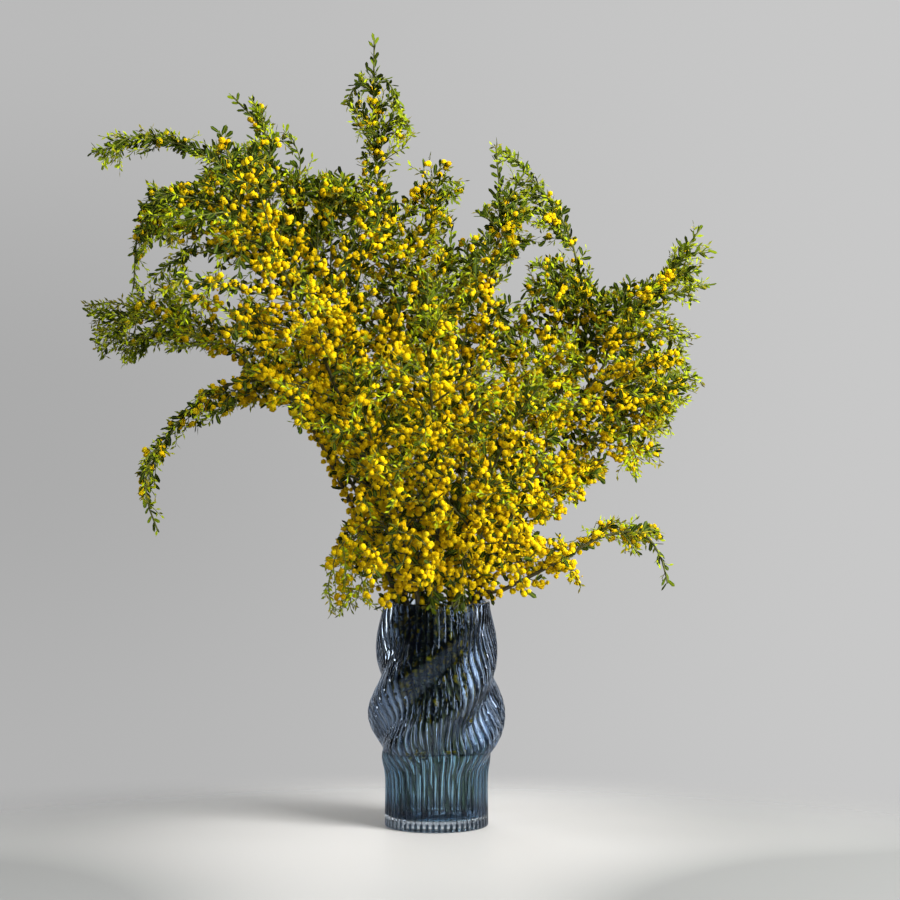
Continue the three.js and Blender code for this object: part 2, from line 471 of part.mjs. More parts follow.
// The water fills the foot of the bore just short of the glass, with a plain hole round each stem.
const waterLevels = boreLevels.filter((z) => z <= WATER_TOP).map((z) => (z === FLOOR ? FLOOR + GAP : z));
const pool = turned(waterLevels, RIBS * (2 / 3), (angle, z) => boreRadius(angle, z) - GAP - 0.35);
const holes = grown.map(({ stem: [foot, neck], radii: [r0, r1] }) => {
  const k = (WATER_TOP + 12 - STEM_FOOT) / (neck.z - foot.z);
  const below = plus(foot, neck.clone().sub(foot).normalize(), -0.6), above = along(foot, neck, k);
  return solidOf(stemGeometry([below, above], [r0 + 0.45, THREE.MathUtils.lerp(r0, r1, k) + 0.45], 4));
});
addNode("water", pool.subtract(wasm.Manifold.union(holes)), clear);
for (const g of grown) {
  // slivers along the joins are collapsed, and a pocket shut in between crowded heads is filled
  const shells = wasm.Manifold.union(g.parts).asOriginal().simplify(0.15).asOriginal().simplify(0.15).decompose().filter((body) => body.volume() > 0);
  if (shells.length !== 1) throw new Error(`${NODE_NAMES[g.key]} is in ${shells.length} pieces`);
  addNode(NODE_NAMES[g.key], shells[0], wattle);
}
export default spray;
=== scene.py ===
"""Golden wattle branches standing in water in a twisted, ribbed vase of smoky blue glass."""

import math

import bpy
import numpy as np
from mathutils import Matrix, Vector


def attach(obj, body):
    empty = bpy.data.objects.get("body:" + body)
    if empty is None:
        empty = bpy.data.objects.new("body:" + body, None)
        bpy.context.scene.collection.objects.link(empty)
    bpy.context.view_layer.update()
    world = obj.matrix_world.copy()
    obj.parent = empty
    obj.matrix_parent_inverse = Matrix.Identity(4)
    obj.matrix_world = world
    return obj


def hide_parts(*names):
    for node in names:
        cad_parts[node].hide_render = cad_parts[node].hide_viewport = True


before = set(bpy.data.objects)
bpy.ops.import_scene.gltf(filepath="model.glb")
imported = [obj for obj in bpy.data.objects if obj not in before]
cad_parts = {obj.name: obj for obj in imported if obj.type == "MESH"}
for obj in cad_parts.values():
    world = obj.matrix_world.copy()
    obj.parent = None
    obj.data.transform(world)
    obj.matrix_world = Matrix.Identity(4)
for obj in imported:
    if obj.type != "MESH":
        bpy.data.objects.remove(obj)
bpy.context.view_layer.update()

# The vase is one piece of smoky blue glass, blown into a ribbed mould. Fifty-four upright ribs run
# from foot to rim over four soft lobes that wind round the body. The bore is smooth, the lip is
# fire-polished round, and the foot is left thick.

MM = 0.001
VASE_HEIGHT = 250.0
RIBS = 54
RIB_DEPTH = 1.45
RIB_COLUMNS = 6  # columns of the mesh over one rib
WALL = 5.0
FLOOR = 11.0
LOBE_TURN = 90 / 82.2  # degrees that a lobe winds round per millimetre of height
LOBE_AT = 124.4  # height at which a lobe faces straight forward
# Height, then the radius between lobes, and half of what a lobe rises above that.
TROUGH_RADIUS = np.array([[0, 57.8], [62, 57.8], [85, 59.6], [120, 59.8], [162, 61.5], [207, 60.5],
                          [250, 59.4]])
LOBE_SWELL = np.array([[0, 0], [54, 0], [64, 0.7], [74, 3], [85, 6], [97, 7.8], [110, 8.4],
                       [124, 8.4], [162, 6], [200, 3.6], [225, 2.6], [250, 1.4]])


class Wire:
    """One output of a shader node. Sums written with it add the Math nodes that work them out."""

    def __init__(self, tree, socket):
        self.tree, self.socket = tree, socket

    def math(self, operation, *values):
        return self.tree.add("ShaderNodeMath", {"operation": operation}, dict(enumerate(values)))

    def __add__(self, other):
        return self.math("ADD", self, other)

    def __sub__(self, other):
        return self.math("SUBTRACT", self, other)

    def __rsub__(self, other):
        return self.math("SUBTRACT", other, self)

    def __mul__(self, other):
        return self.math("MULTIPLY", self, other)

    def __pow__(self, other):
        return self.math("POWER", self, other)

    def __abs__(self):
        return self.math("ABSOLUTE", self)

    __radd__ = __add__
    __rmul__ = __mul__

    def between(self, low, high):
        """0 below low, 1 above high, and a smooth step between."""
        return self.tree.add("ShaderNodeMapRange", {"interpolation_type": "SMOOTHSTEP"},
                             {"Value": self, "From Min": low, "From Max": high})


class Tree:
    """A node tree that is written as sums of wires."""

    def __init__(self, node_tree):
        self.nodes, self.links = node_tree.nodes, node_tree.links
        self.nodes.clear()

    def add(self, kind, settings=None, inputs=None, output=0):
        """Adds a node of that type, with its settings first, then each input's value or wire."""
        node = self.nodes.new(kind)
        for name, value in (settings or {}).items():
            if name == "stops":
                ramp = node.color_ramp
                while len(ramp.elements) < len(value):
                    ramp.elements.new(0.5)
                for stop, (place, colour) in zip(ramp.elements, value):
                    stop.position, stop.color = place, (*colour, 1)
            else:
                setattr(node, name, value)
        for name, value in (inputs or {}).items():
            if isinstance(value, Wire):
                self.links.new(value.socket, node.inputs[name])
            elif isinstance(value, tuple) and len(value) == 3 and node.inputs[name].type == "RGBA":
                node.inputs[name].default_value = (*value, 1)
            else:
                node.inputs[name].default_value = value
        return Wire(self, node.outputs[output]) if len(node.outputs) else None

    def place(self):
        return self.add("ShaderNodeTexCoord", output="Object")

    def part(self, vector, axis):
        return self.add("ShaderNodeSeparateXYZ", inputs={0: vector}, output=axis)

    def noise(self, scale, detail=2.0, rough=0.5, where=None):
        return self.add("ShaderNodeTexNoise", inputs={"Vector": where or self.place(), "Scale": scale,
                                                      "Detail": detail, "Roughness": rough})

    def mark(self, name):
        """A number stored on the mesh's points."""
        return self.add("ShaderNodeAttribute", {"attribute_name": name}, output="Fac")

    def ramp(self, value, stops):
        return self.add("ShaderNodeValToRGB", {"stops": stops}, {0: value})

    def mix(self, share, one, other, blend="MIX"):
        return self.add("ShaderNodeMix", {"data_type": "RGBA", "blend_type": blend},
                        {0: share, 6: one, 7: other}, output=2)

    def painted_shade_below_rim(self):
        """1 inside the vase, fading to 0 a little above its rim. It masks the painted shade on leaves and
        heads inside the glass.
        """
        return 1 - self.part(self.place(), "Z").between(0.235, 0.262)

    def bump(self, height, distance, strength=1.0):
        return self.add("ShaderNodeBump", inputs={"Height": height, "Distance": distance,
                                                  "Strength": strength})


def finish_of(name):
    """A new material and its empty node tree."""
    material = bpy.data.materials.new(name)
    material.use_nodes = True
    return material, Tree(material.node_tree)


def coat_with(tree, **sockets):
    """Ends a material in a Principled shader with these sockets, named with _ for a space."""
    inputs = {name.replace("_", " "): value for name, value in sockets.items()}
    shader = tree.add("ShaderNodeBsdfPrincipled", inputs=inputs)
    tree.add("ShaderNodeOutputMaterial", inputs={"Surface": shader})


def placed(name, data):
    """A new object for a mesh, lamp or camera, linked to the scene."""
    thing = bpy.data.objects.new(name, data)
    bpy.context.scene.collection.objects.link(thing)
    return thing


def make_piece(name, points, faces, material, stands_for, marks=None, sharp=None):
    """A smooth mesh of points in millimetres, riding on the body and standing for a solid. marks are
    numbers stored on its points; edges sharper than `sharp` degrees stay crisp."""
    mesh = bpy.data.meshes.new(name)
    mesh.from_pydata(points * MM, [], faces)
    mesh.shade_smooth()
    if sharp:
        mesh.set_sharp_from_angle(angle=math.radians(sharp))
    for mark, values in (marks or {}).items():
        mesh.attributes.new(mark, "FLOAT", "POINT").data.foreach_set("value", values.astype(np.float32))
    mesh.materials.append(material)
    piece = placed(name, mesh)
    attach(piece, "root")
    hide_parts(stands_for)


def eased(table, x):
    """The table's second column at x, on a smooth cubic through its rows."""
    xs, ys = table.T
    slope = np.gradient(ys, xs)
    i = np.clip(np.searchsorted(xs, x, "right") - 1, 0, len(xs) - 2)
    h = xs[i + 1] - xs[i]
    t = (x - xs[i]) / h
    return (ys[i] * (2 * t**3 - 3 * t**2 + 1) + ys[i + 1] * (3 * t**2 - 2 * t**3)
            + h * slope[i] * (t**3 - 2 * t**2 + t) + h * slope[i + 1] * (t**3 - t**2))


def crest_radius(degrees, z):
    """Radius over the rib tops: the trough radius plus a swell that peaks on each of four lobes,
    which lie further round the higher they are. Degrees run from the front toward +X."""
    lobe = np.cos(np.radians(4 * (degrees - (z - LOBE_AT) * LOBE_TURN)))
    return eased(TROUGH_RADIUS, z) + np.maximum(eased(LOBE_SWELL, z), 0) * (1 + lobe)


def skin(rows, columns):
    """Quads between rings of points, and the triangles from each end ring to the point that closes
    it. Those two points follow the rings."""
    row, column = np.indices((rows - 1, columns))
    a, b = row * columns + column, row * columns + (column + 1) % columns
    quads = np.stack([a, b, b + columns, a + columns], -1).reshape(-1, 4)
    first, count = np.arange(columns), rows * columns
    last = first + count - columns
    foot = np.stack([np.roll(first, -1), first, np.full(columns, count)], -1)
    top = np.stack([last, np.roll(last, -1), np.full(columns, count + 1)], -1)
    return quads, np.vstack([foot, top])


def turned(rows, columns, radius):
    """A closed round body. Each row is (height, share of the radius, inset, relief), and the radius
    there is share x (radius(degrees, height, relief) - inset). A point closes each end."""
    z, share, inset, relief = np.array(rows, float).T[:, :, None]
    degrees = np.arange(columns) * 360 / columns
    r = share * (radius(degrees[None], z, relief) - inset)
    x, y = r * np.sin(np.radians(degrees)), -r * np.cos(np.radians(degrees))
    rings = np.stack([x, y, z + 0 * r], -1).reshape(-1, 3)
    points = np.vstack([rings, [[0, 0, rows[0][0]], [0, 0, rows[-1][0]]]])
    quads, ends = skin(len(rows), columns)
    return points, quads.tolist() + ends.tolist()


def ribbed(degrees, z, relief):
    """The outside: each rib is a shallow arch, deepest cut where two ribs meet."""
    across = (degrees / 360 * RIBS + 0.5) % 1 - 0.5
    return crest_radius(degrees, z) - relief * RIB_DEPTH * (2 * across) ** 2


foot_rows = [(1.4, 0.2, 0, 0), (1.3, 0.5, 0, 0), (0.9, 0.8, 0, 0), (0.15, 0.94, 0, 0.4),
             (0, 1, 1.6, 1), (0.25, 1, 0.7, 1), (0.8, 1, 0.2, 1), (1.6, 1, 0, 1)]
wall_rows = [(z, 1, 0, 1) for z in np.linspace(3, 246.5, 80)]
lip_rows = [(VASE_HEIGHT - 2.6 + 2.6 * math.sin(a), 1, 2.5 * (1 - math.cos(a)), max(0, 1 - a / 1.2))
            for a in np.linspace(0.1, math.pi, 9)]
bore_rows = [(z, 1, WALL, 0) for z in np.linspace(243, 16, 34)]
floor_rows = [(FLOOR + 2.4, 1, 5.5, 0), (FLOOR + 1, 1, 6.6, 0), (FLOOR + 0.2, 1, 8.6, 0),
              (FLOOR, 1, 12, 0), (FLOOR, 0.55, 12, 0), (FLOOR, 0.2, 12, 0)]
rows = foot_rows + wall_rows + lip_rows + bore_rows + floor_rows
points, faces = turned(rows, RIBS * RIB_COLUMNS, ribbed)
across = (np.arange(RIBS * RIB_COLUMNS) / RIB_COLUMNS + 0.5) % 1 - 0.5
dip = np.append(np.outer([row[3] for row in rows], (2 * across) ** 2), [0, 0])

smoky_glass, tree = finish_of("smoky_glass")
height = tree.part(tree.place(), "Z")
turned_away = tree.add("ShaderNodeLayerWeight", inputs={"Blend": 0.5}, output="Facing")
valley = tree.mark("valley")
glass_tint_and_painted_light = tree.mix(tree.noise(14, 3), (0.68, 0.80, 0.92), (0.78, 0.88, 0.97))
# Painted shade: where the glass turns away from view it is painted dark navy.
glass_tint_and_painted_light = tree.mix(turned_away.between(0.08, 0.42) * 0.8, glass_tint_and_painted_light, (0.05, 0.11, 0.24))
# Painted shade: a dark navy band on the glass just above the bore's floor.
painted_shade_band = height.between(0.012, 0.016) * (1 - height.between(0.017, 0.030))
glass_tint_and_painted_light = tree.mix(painted_shade_band * 0.9, glass_tint_and_painted_light, (0.02, 0.045, 0.10))
# Painted shade: the rib valleys are painted dark navy, less so below the water's level.
wet = 1 - height.between(0.078, 0.086)
glass_tint_and_painted_light = tree.mix((valley - 0.22 * wet).between(0.06, 0.7) * 0.94, glass_tint_and_painted_light, (0.012, 0.03, 0.075))
# Painted shade: in the foot the rib valleys are painted nearly black.
foot = 1 - height.between(0.008, 0.011)
glass_tint_and_painted_light = tree.mix(valley.between(0.02, 0.4) * foot, glass_tint_and_painted_light, (0.004, 0.010, 0.018))
# Painted highlight: a near-white line round the glass at the level of the bore's floor.
sill = height.between(0.009, 0.0105) * (1 - height.between(0.0125, 0.0135))
glass_tint_and_painted_light = tree.mix(sill * 0.9, glass_tint_and_painted_light, (0.95, 0.97, 1.0))
brim = height.between(0.0843, 0.0847) * (1 - height.between(0.0855, 0.0859))
glass_tint_and_painted_light = tree.mix(brim * 0.75, glass_tint_and_painted_light, (0.03, 0.06, 0.06))
wiped = tree.noise(55, 4, 0.6).between(0.5, 0.85)
coat_with(tree, Base_Color=glass_tint_and_painted_light, Transmission_Weight=1.0, IOR=1.5, Roughness=0.02 * wiped,
          Specular_Tint=(0.45, 0.58, 0.78), Normal=tree.bump(tree.noise(38, 2), 0.0004, 0.03))
make_piece("vase_glass", points, faces, smoky_glass, "vase", {"valley": dip}, sharp=30)

# The water fills the foot of the bore and creeps a little up the glass at its edge. It is faintly
# green from the stems. It is drawn a hair into the glass, so that no air shows between them.

WATER_TOP = 85.0


def bore(degrees, z, relief):
    return crest_radius(degrees, z) - WALL


side = [(z, 1, -0.25, 0) for z in np.linspace(14, WATER_TOP + 1.2, 22)]
under = [(FLOOR - 0.3, 0.3, 9, 0), (FLOOR - 0.3, 1, 9, 0), (FLOOR, 1, 7.2, 0),
         (FLOOR + 1.2, 1, 1.6, 0)]
rise = [(WATER_TOP + 1.0, 1, 0.1, 0), (WATER_TOP + 0.5, 1, 0.7, 0), (WATER_TOP + 0.15, 1, 1.8, 0),
        (WATER_TOP, 1, 4, 0), (WATER_TOP, 0.6, 4, 0), (WATER_TOP, 0.2, 4, 0)]
points, faces = turned(under + side + rise, 216, bore)

green_water, tree = finish_of("green_water")
height = tree.part(tree.place(), "Z")
water_tint_and_painted_shade = tree.mix(tree.noise(18, 2), (0.64, 0.97, 0.96), (0.74, 1.0, 1.0))
# Painted shade: toward the bottom the water is painted darker.
water_tint_and_painted_shade = tree.mix(height.between(0.012, 0.05), (0.42, 0.60, 0.68), water_tint_and_painted_shade)
swirl = tree.noise(25, 2)
coat_with(tree, Base_Color=water_tint_and_painted_shade, Transmission_Weight=1.0, IOR=1.333, Roughness=0.01 + 0.02 * swirl,
          Normal=tree.bump(swirl, 0.0005, 0.3))
make_piece("water_body", points, faces, green_water, "water", sharp=50)

# Seventeen branches stand in the water, cross the rim on two rings and spread. Each is one woody
# stem with side shoots and twigs. They fork by one rule with fixed draws, and stop where they
# would leave the spray's outline.

STEM_FOOT = 15.0
RING_OUTER, RING_INNER = 44.0, 21.0
STEM_TWIST = 80.0
STEP = 4.0
GOLDEN = 2.399963
LOWEST_SHOOT = 262.0
LOWEST_NECK_TWIG = 112.0
# Where the spray is looked at from: across, the distance in front, and the height.
VIEW_X, VIEW_AWAY, VIEW_Z = 15.0, 2744.0, 473.0
# Each branch's name, the degrees round the rim at which it crosses, and 1 for the outer ring.
CROSSINGS = {
    "A": ("left_low", 193, 1), "B": ("left_reach", 168, 1), "C": ("left_droop", 218, 1),
    "D": ("left_high", 141, 1), "E": ("left_upright", 180, 0), "F": ("top", 108, 0),
    "G": ("centre_right", 252, 0), "H": ("right_bent", 324, 0), "I": ("right_high", 5, 1),
    "J": ("right_mid", 32, 1), "K": ("right_low", 333, 1), "L": ("front_left", 243, 1),
    "M": ("front_right", 298, 1), "N": ("front_mid", 269, 1), "O": ("back_left", 112, 1),
    "P": ("back_right", 66, 1), "Q": ("back_up", 35, 0),
}
BRANCHES = {key: "branch_" + name for key, (name, _, _) in CROSSINGS.items()}
# The points in millimetres that each branch passes after the rim, up to its tip.
PASSES = {
    "A": [(-93, -25, 357), (-160, -35, 478), (-215, -42, 492), (-266, -50, 465), (-312, -52, 399),
          (-315, -52, 364), (-304, -52, 331)],
    "B": [(-99, 25, 386), (-199, 35, 504), (-294, 30, 557), (-390, 20, 571)],
    "C": [(-77, -60, 402), (-157, -90, 596), (-229, -100, 681), (-281, -108, 694), (-315, -112, 656),
          (-322, -110, 592)],
    "D": [(-76, 60, 428), (-156, 80, 627), (-231, 85, 734), (-310, 80, 768), (-391, 70, 755)],
    "E": [(-60, -10, 429), (-120, 0, 601), (-174, 5, 717), (-194, 8, 773), (-227, 10, 811)],
    "F": [(-25, 30, 428), (-50, 30, 619), (-69, 20, 758), (-70, 14, 818), (-69, 10, 875)],
    "G": [(35, -30, 418), (61, -20, 594), (70, -14, 683), (66, -10, 751)],
    "H": [(89, 10, 401), (163, 15, 534), (153, 10, 640), (121, 6, 701), (77, 4, 750)],
    "I": [(104, 0, 384), (179, 0, 501), (240, 5, 589), (293, 5, 663)],
    "J": [(110, 40, 360), (188, 60, 439), (242, 65, 482), (296, 60, 501)],
    "K": [(72, -35, 264), (130, -40, 294), (179, -40, 322), (223, -38, 328), (245, -36, 303),
          (254, -35, 272)],
    "L": [(-47, -95, 355), (-73, -150, 452), (-88, -190, 514)],
    "M": [(41, -100, 344), (78, -160, 442), (107, -205, 488)],
    "N": [(1, -110, 388), (-8, -170, 525), (-8, -200, 602)],
    "O": [(-63, 100, 375), (-115, 165, 499), (-157, 210, 571)],
    "P": [(50, 100, 364), (102, 165, 482), (142, 215, 530)],
    "Q": [(5, 100, 418), (11, 150, 578), (17, 172, 676)],
}
# Side shoots that make the outline, by branch: the points that each passes. A shoot leaves from the
# stem's point nearest its first one.
SIDE_SHOOTS = {
    "A": [[(-108, -28, 396), (-128, -60, 413), (-152, -72, 430), (-159, -74, 437)],
          [(-101, -26, 374), (-107, -50, 392), (-111, -56, 379)],
          [(-191, -40, 489), (-200, -55, 501), (-209, -62, 504)],
          [(-234, -45, 484), (-251, -66, 482), (-266, -74, 469)],
          [(-295, -50, 429), (-310, -70, 413), (-320, -74, 391)]],
    "B": [[(-249, 34, 531), (-308, 10, 564), (-352, -8, 559), (-375, -18, 542)],
          [(-266, 33, 543), (-319, 58, 538), (-351, 66, 521)],
          [(-321, 27, 567), (-357, 30, 582), (-396, 34, 579)],
          [(-196, 35, 504), (-233, -20, 534), (-280, -45, 530), (-301, -50, 525)],
          [(-154, 32, 456), (-200, 80, 498), (-245, 110, 517), (-269, 120, 522)],
          [(-249, 34, 535), (-281, 70, 566), (-329, 90, 584), (-350, 95, 582)],
          [(-299, 30, 558), (-322, 12, 537), (-339, 4, 517), (-345, 2, 503)],
          [(-332, 26, 565), (-357, 40, 547), (-376, 48, 529), (-382, 50, 511)]],
    "C": [[(-247, -102, 690), (-279, -130, 665), (-298, -142, 622), (-301, -142, 610)],
          [(-218, -98, 672), (-254, -80, 650), (-273, -70, 622), (-277, -66, 601)],
          [(-262, -105, 695), (-290, -92, 705), (-316, -84, 708)],
          [(-199, -96, 650), (-233, -135, 619), (-251, -150, 588), (-289, -155, 578)],
          [(-186, -96, 639), (-211, -140, 668), (-240, -165, 666), (-266, -172, 658)]],
    "D": [[(-304, 80, 768), (-347, 60, 771), (-373, 50, 746), (-378, 46, 730)],
          [(-282, 83, 765), (-330, 100, 762), (-357, 108, 736)],
          [(-242, 85, 744), (-256, 70, 774), (-280, 62, 786)],
          [(-225, 85, 729), (-235, 100, 772), (-265, 106, 796)],
          [(-200, 84, 696), (-206, 60, 745), (-213, 50, 762)]],
    "E": [[(-160, 4, 689), (-152, 20, 741), (-170, 26, 774)],
          [(-152, 3, 667), (-161, -25, 726), (-184, -34, 747)],
          [(-135, 0, 634), (-112, -15, 694), (-100, -22, 719)],
          [(-118, 0, 595), (-120, 30, 675), (-140, 45, 743)]],
    "F": [[(-68, 21, 741), (-47, 0, 785), (-9, -15, 757), (30, -24, 704)],
          [(-70, 14, 816), (-88, 25, 826), (-98, 32, 809), (-101, 36, 774)],
          [(-65, 22, 730), (-86, 40, 754), (-100, 50, 791)],
          [(-58, 26, 680), (-41, 50, 721), (-36, 60, 756), (-53, 66, 802)],
          [(-61, 25, 691), (-93, -10, 694), (-108, -26, 717)],
          [(-50, 30, 619), (-7, 5, 678), (4, -6, 716), (22, -12, 688)],
          [(-69, 18, 750), (-54, 10, 780), (-38, 2, 782), (-19, -6, 766), (-4, -10, 746), (2, -12, 720),
           (0, -12, 692)],
          [(-71, 14, 820), (-58, 4, 828), (-48, -4, 817), (-41, -8, 798), (-36, -10, 781)],
          [(-51, 30, 628), (-28, 0, 637), (-7, -14, 650), (12, -20, 658)]],
    "G": [[(68, -16, 655), (52, -35, 686), (50, -42, 713)],
          [(69, -14, 677), (87, -30, 705), (96, -36, 722)],
          [(59, -20, 583), (37, 0, 628), (35, 10, 671), (51, 14, 700)],
          [(65, -18, 627), (93, 10, 651), (104, 20, 627), (91, 24, 596)],
          [(59, 20, 585), (76, -6, 559), (88, -16, 534)]],
    "H": [[(163, 15, 551), (136, -15, 600), (108, -30, 624), (92, -36, 628)],
          [(162, 13, 584), (183, 30, 628), (172, 38, 657)],
          [(144, 9, 664), (150, -10, 685), (136, -18, 709)],
          [(163, 15, 534), (139, 45, 586), (126, 58, 629), (135, 62, 654)]],
    "I": [[(226, 4, 571), (260, -20, 616), (279, -28, 631), (303, -34, 639)],
          [(237, 5, 584), (284, 24, 598), (310, 32, 604)],
          [(262, 5, 620), (267, 12, 647), (276, 14, 656)],
          [(209, 2, 543), (193, -25, 587), (177, -36, 617)],
          [(202, 2, 532), (235, -30, 550), (277, -48, 562), (289, -52, 540)],
          [(221, 3, 562), (215, 30, 608), (252, 44, 629)],
          [(170, 0, 491), (151, -24, 521), (137, -34, 550)]],
    "J": [[(208, 62, 459), (251, 30, 520), (283, 16, 529), (297, 10, 538)],
          [(199, 61, 450), (240, 30, 464), (266, 15, 451), (277, 10, 428)],
          [(185, 60, 437), (233, 90, 444), (262, 104, 418), (271, 108, 396)],
          [(168, 58, 419), (205, 20, 437), (220, 4, 415), (223, 0, 391)],
          [(231, 65, 475), (270, 90, 479), (291, 100, 461)]],
    "K": [[(168, -40, 315), (192, -55, 340), (213, -62, 347)],
          [(136, -40, 295), (147, -70, 289), (157, -82, 266), (153, -86, 239)],
          [(201, -39, 327), (209, -60, 321), (215, -68, 304)],
          [(152, -40, 305), (179, -10, 329), (207, 4, 332)],
          [(223, -38, 328), (241, -24, 330), (260, -18, 301)]],
    "L": [[(-37, -78, 316), (-68, -105, 345), (-100, -122, 319), (-114, -126, 277), (-108, -126, 248)],
          [(-41, -85, 333), (-80, -70, 332), (-99, -62, 299), (-92, -60, 250)],
          [(-34, -70, 300), (-60, -100, 318), (-79, -112, 286), (-72, -114, 260)],
          [(-55, -112, 388), (-88, -140, 431), (-111, -152, 447), (-119, -156, 431)]],
    "M": [[(17, -62, 299), (28, -86, 314), (28, -96, 280), (23, -96, 248)]],
    "N": [[(2, -62, 299), (0, -85, 317), (-4, -98, 280), (-6, -98, 246)]],
}
# The spray's outline at the vase's axis (x, z), then the gaps that show through it. A program traced
# these points from the photo's foliage and thinned them; they weren't chosen by hand.
OUTLINE = [
    [(-71, 877), (-62, 872), (-63, 838), (-48, 823), (-34, 785), (-22, 769), (2, 761), (20, 723),
     (34, 715), (22, 690), (22, 668), (7, 654), (11, 640), (53, 662), (43, 683), (62, 691), (49, 710),
     (67, 707), (74, 715), (71, 737), (57, 738), (58, 755), (68, 762), (106, 736), (107, 727), (131, 705),
     (130, 697), (147, 689), (144, 679), (149, 664), (158, 660), (157, 647), (169, 641), (164, 628),
     (182, 624), (172, 607), (179, 596), (198, 595), (207, 606), (217, 605), (224, 612), (243, 607),
     (252, 617), (248, 630), (261, 638), (264, 648), (276, 645), (286, 651), (276, 663), (279, 670),
     (294, 669), (303, 658), (306, 623), (296, 622), (292, 612), (307, 609), (306, 601), (292, 595),
     (288, 579), (254, 575), (286, 549), (297, 550), (290, 536), (279, 530), (277, 518), (297, 493),
     (287, 476), (264, 461), (264, 443), (276, 426), (255, 432), (244, 428), (262, 394), (235, 403),
     (222, 386), (211, 394), (199, 385), (201, 398), (191, 403), (183, 376), (165, 376), (163, 361),
     (148, 354), (142, 341), (111, 331), (116, 321), (135, 323), (172, 342), (203, 341), (212, 354),
     (219, 354), (227, 339), (249, 328), (249, 319), (266, 301), (252, 265), (241, 312), (231, 313),
     (223, 299), (211, 304), (203, 289), (191, 295), (186, 306), (168, 308), (154, 297), (162, 264),
     (159, 252), (167, 241), (157, 228), (141, 229), (139, 236), (149, 243), (149, 251), (129, 269),
     (112, 265), (102, 251), (88, 263), (71, 262), (61, 238), (-61, 238), (-85, 245), (-95, 227),
     (-104, 233), (-116, 229), (-128, 261), (-121, 280), (-129, 287), (-110, 314), (-111, 323), (-92, 343),
     (-89, 367), (-102, 387), (-112, 375), (-119, 377), (-116, 410), (-122, 432), (-145, 444), (-164, 433),
     (-167, 439), (-156, 454), (-162, 465), (-221, 466), (-254, 445), (-282, 436), (-286, 422),
     (-308, 401), (-312, 361), (-304, 347), (-307, 323), (-322, 357), (-334, 366), (-330, 403),
     (-314, 419), (-312, 438), (-301, 443), (-300, 459), (-278, 462), (-264, 483), (-223, 493),
     (-210, 513), (-217, 521), (-238, 518), (-265, 531), (-292, 523), (-302, 534), (-346, 512),
     (-353, 525), (-372, 518), (-382, 538), (-378, 552), (-391, 558), (-386, 570), (-394, 580),
     (-341, 587), (-338, 602), (-343, 612), (-334, 625), (-338, 642), (-334, 667), (-329, 671),
     (-332, 687), (-321, 701), (-330, 720), (-291, 709), (-264, 715), (-260, 723), (-267, 740),
     (-303, 754), (-323, 743), (-333, 746), (-346, 722), (-362, 734), (-373, 729), (-372, 744),
     (-386, 748), (-374, 759), (-377, 769), (-348, 775), (-331, 772), (-323, 779), (-289, 770),
     (-277, 787), (-265, 790), (-259, 785), (-248, 788), (-242, 777), (-231, 774), (-228, 762),
     (-209, 756), (-201, 775), (-211, 798), (-231, 809), (-231, 815), (-215, 816), (-193, 801),
     (-179, 776), (-156, 775), (-144, 765), (-143, 748), (-131, 742), (-141, 731), (-137, 722),
     (-102, 729), (-97, 717), (-87, 712), (-83, 758), (-102, 767), (-94, 785), (-102, 809), (-98, 822),
     (-80, 840), (-80, 857)],
    [(113, 647), (108, 640), (95, 644), (89, 638), (91, 629), (82, 622), (86, 612), (67, 594), (73, 582),
     (96, 592), (103, 628), (111, 635), (122, 628), (130, 632), (123, 647)],
    [(-303, 650), (-312, 649), (-324, 633), (-314, 615), (-306, 619), (-294, 642)],
    [(-43, 728), (-52, 715), (-52, 703), (-47, 697), (-29, 697), (-23, 719), (-33, 728)],
    [(-265, 637), (-277, 629), (-272, 612), (-243, 622), (-252, 636)],
    [(-173, 754), (-180, 747), (-177, 726), (-168, 726), (-163, 737), (-164, 750)],
    [(-263, 773), (-263, 759), (-242, 760), (-246, 768)],
]
# How much earlier than on the rest these branches bear leafy sprigs, as a share of their length.
TUFTED = {"A": 0.1, "B": 0.15, "F": 0.3, "G": 0.1, "H": 0.1, "I": 0.1, "K": 0.15}
DEEPEST = 236.0  # how far shoots reach to the front and the back
EDGES = np.vstack([np.hstack([ring, np.roll(ring, -1, axis=0)]) for ring in map(np.array, OUTLINE)]).T
UP = np.array([0, 0, 1.0])


def draw(i, j, k):
    """Repeatable draw in 0 to 1 from three whole numbers."""
    x = (i * 7919 + j * 104729 + k * 1299709 + 12345) % 2147483647
    for _ in range(3):
        x = x * 48271 % 2147483647
    return x / 2147483647


def unit(v):
    return v / np.maximum(np.linalg.norm(v, axis=-1, keepdims=True), 1e-9)


def stem_line(points):
    """Smooth line through the points, a Catmull-Rom cubic over each span, cut into even steps."""
    points = np.array(points, float)
    p = np.vstack([2 * points[0] - points[1], points, 2 * points[-1] - points[-2]])

    def at(t):
        s = t * (len(points) - 1)
        i = np.minimum(s.astype(int), len(points) - 2)
        f = (s - i)[:, None]
        a, b, c, d = p[i], p[i + 1], p[i + 2], p[i + 3]
        return b + f / 2 * (c - a + f * (2 * a - 5 * b + 4 * c - d + f * (3 * b - a - 3 * c + d)))

    t = np.linspace(0, 1, 201)
    reach = np.concatenate([[0], np.cumsum(np.linalg.norm(np.diff(at(t), axis=0), axis=1))])
    steps = max(2, math.floor(reach[-1] / STEP + 0.5))
    return at(np.interp(np.linspace(0, reach[-1], steps + 1), reach, t))


def tangents(path):
    """Unit direction of the line at each point, from the point before to the one after."""
    return unit(np.vstack([path[1:2] - path[:1], path[2:] - path[:-2], path[-1:] - path[-2:-1]]))


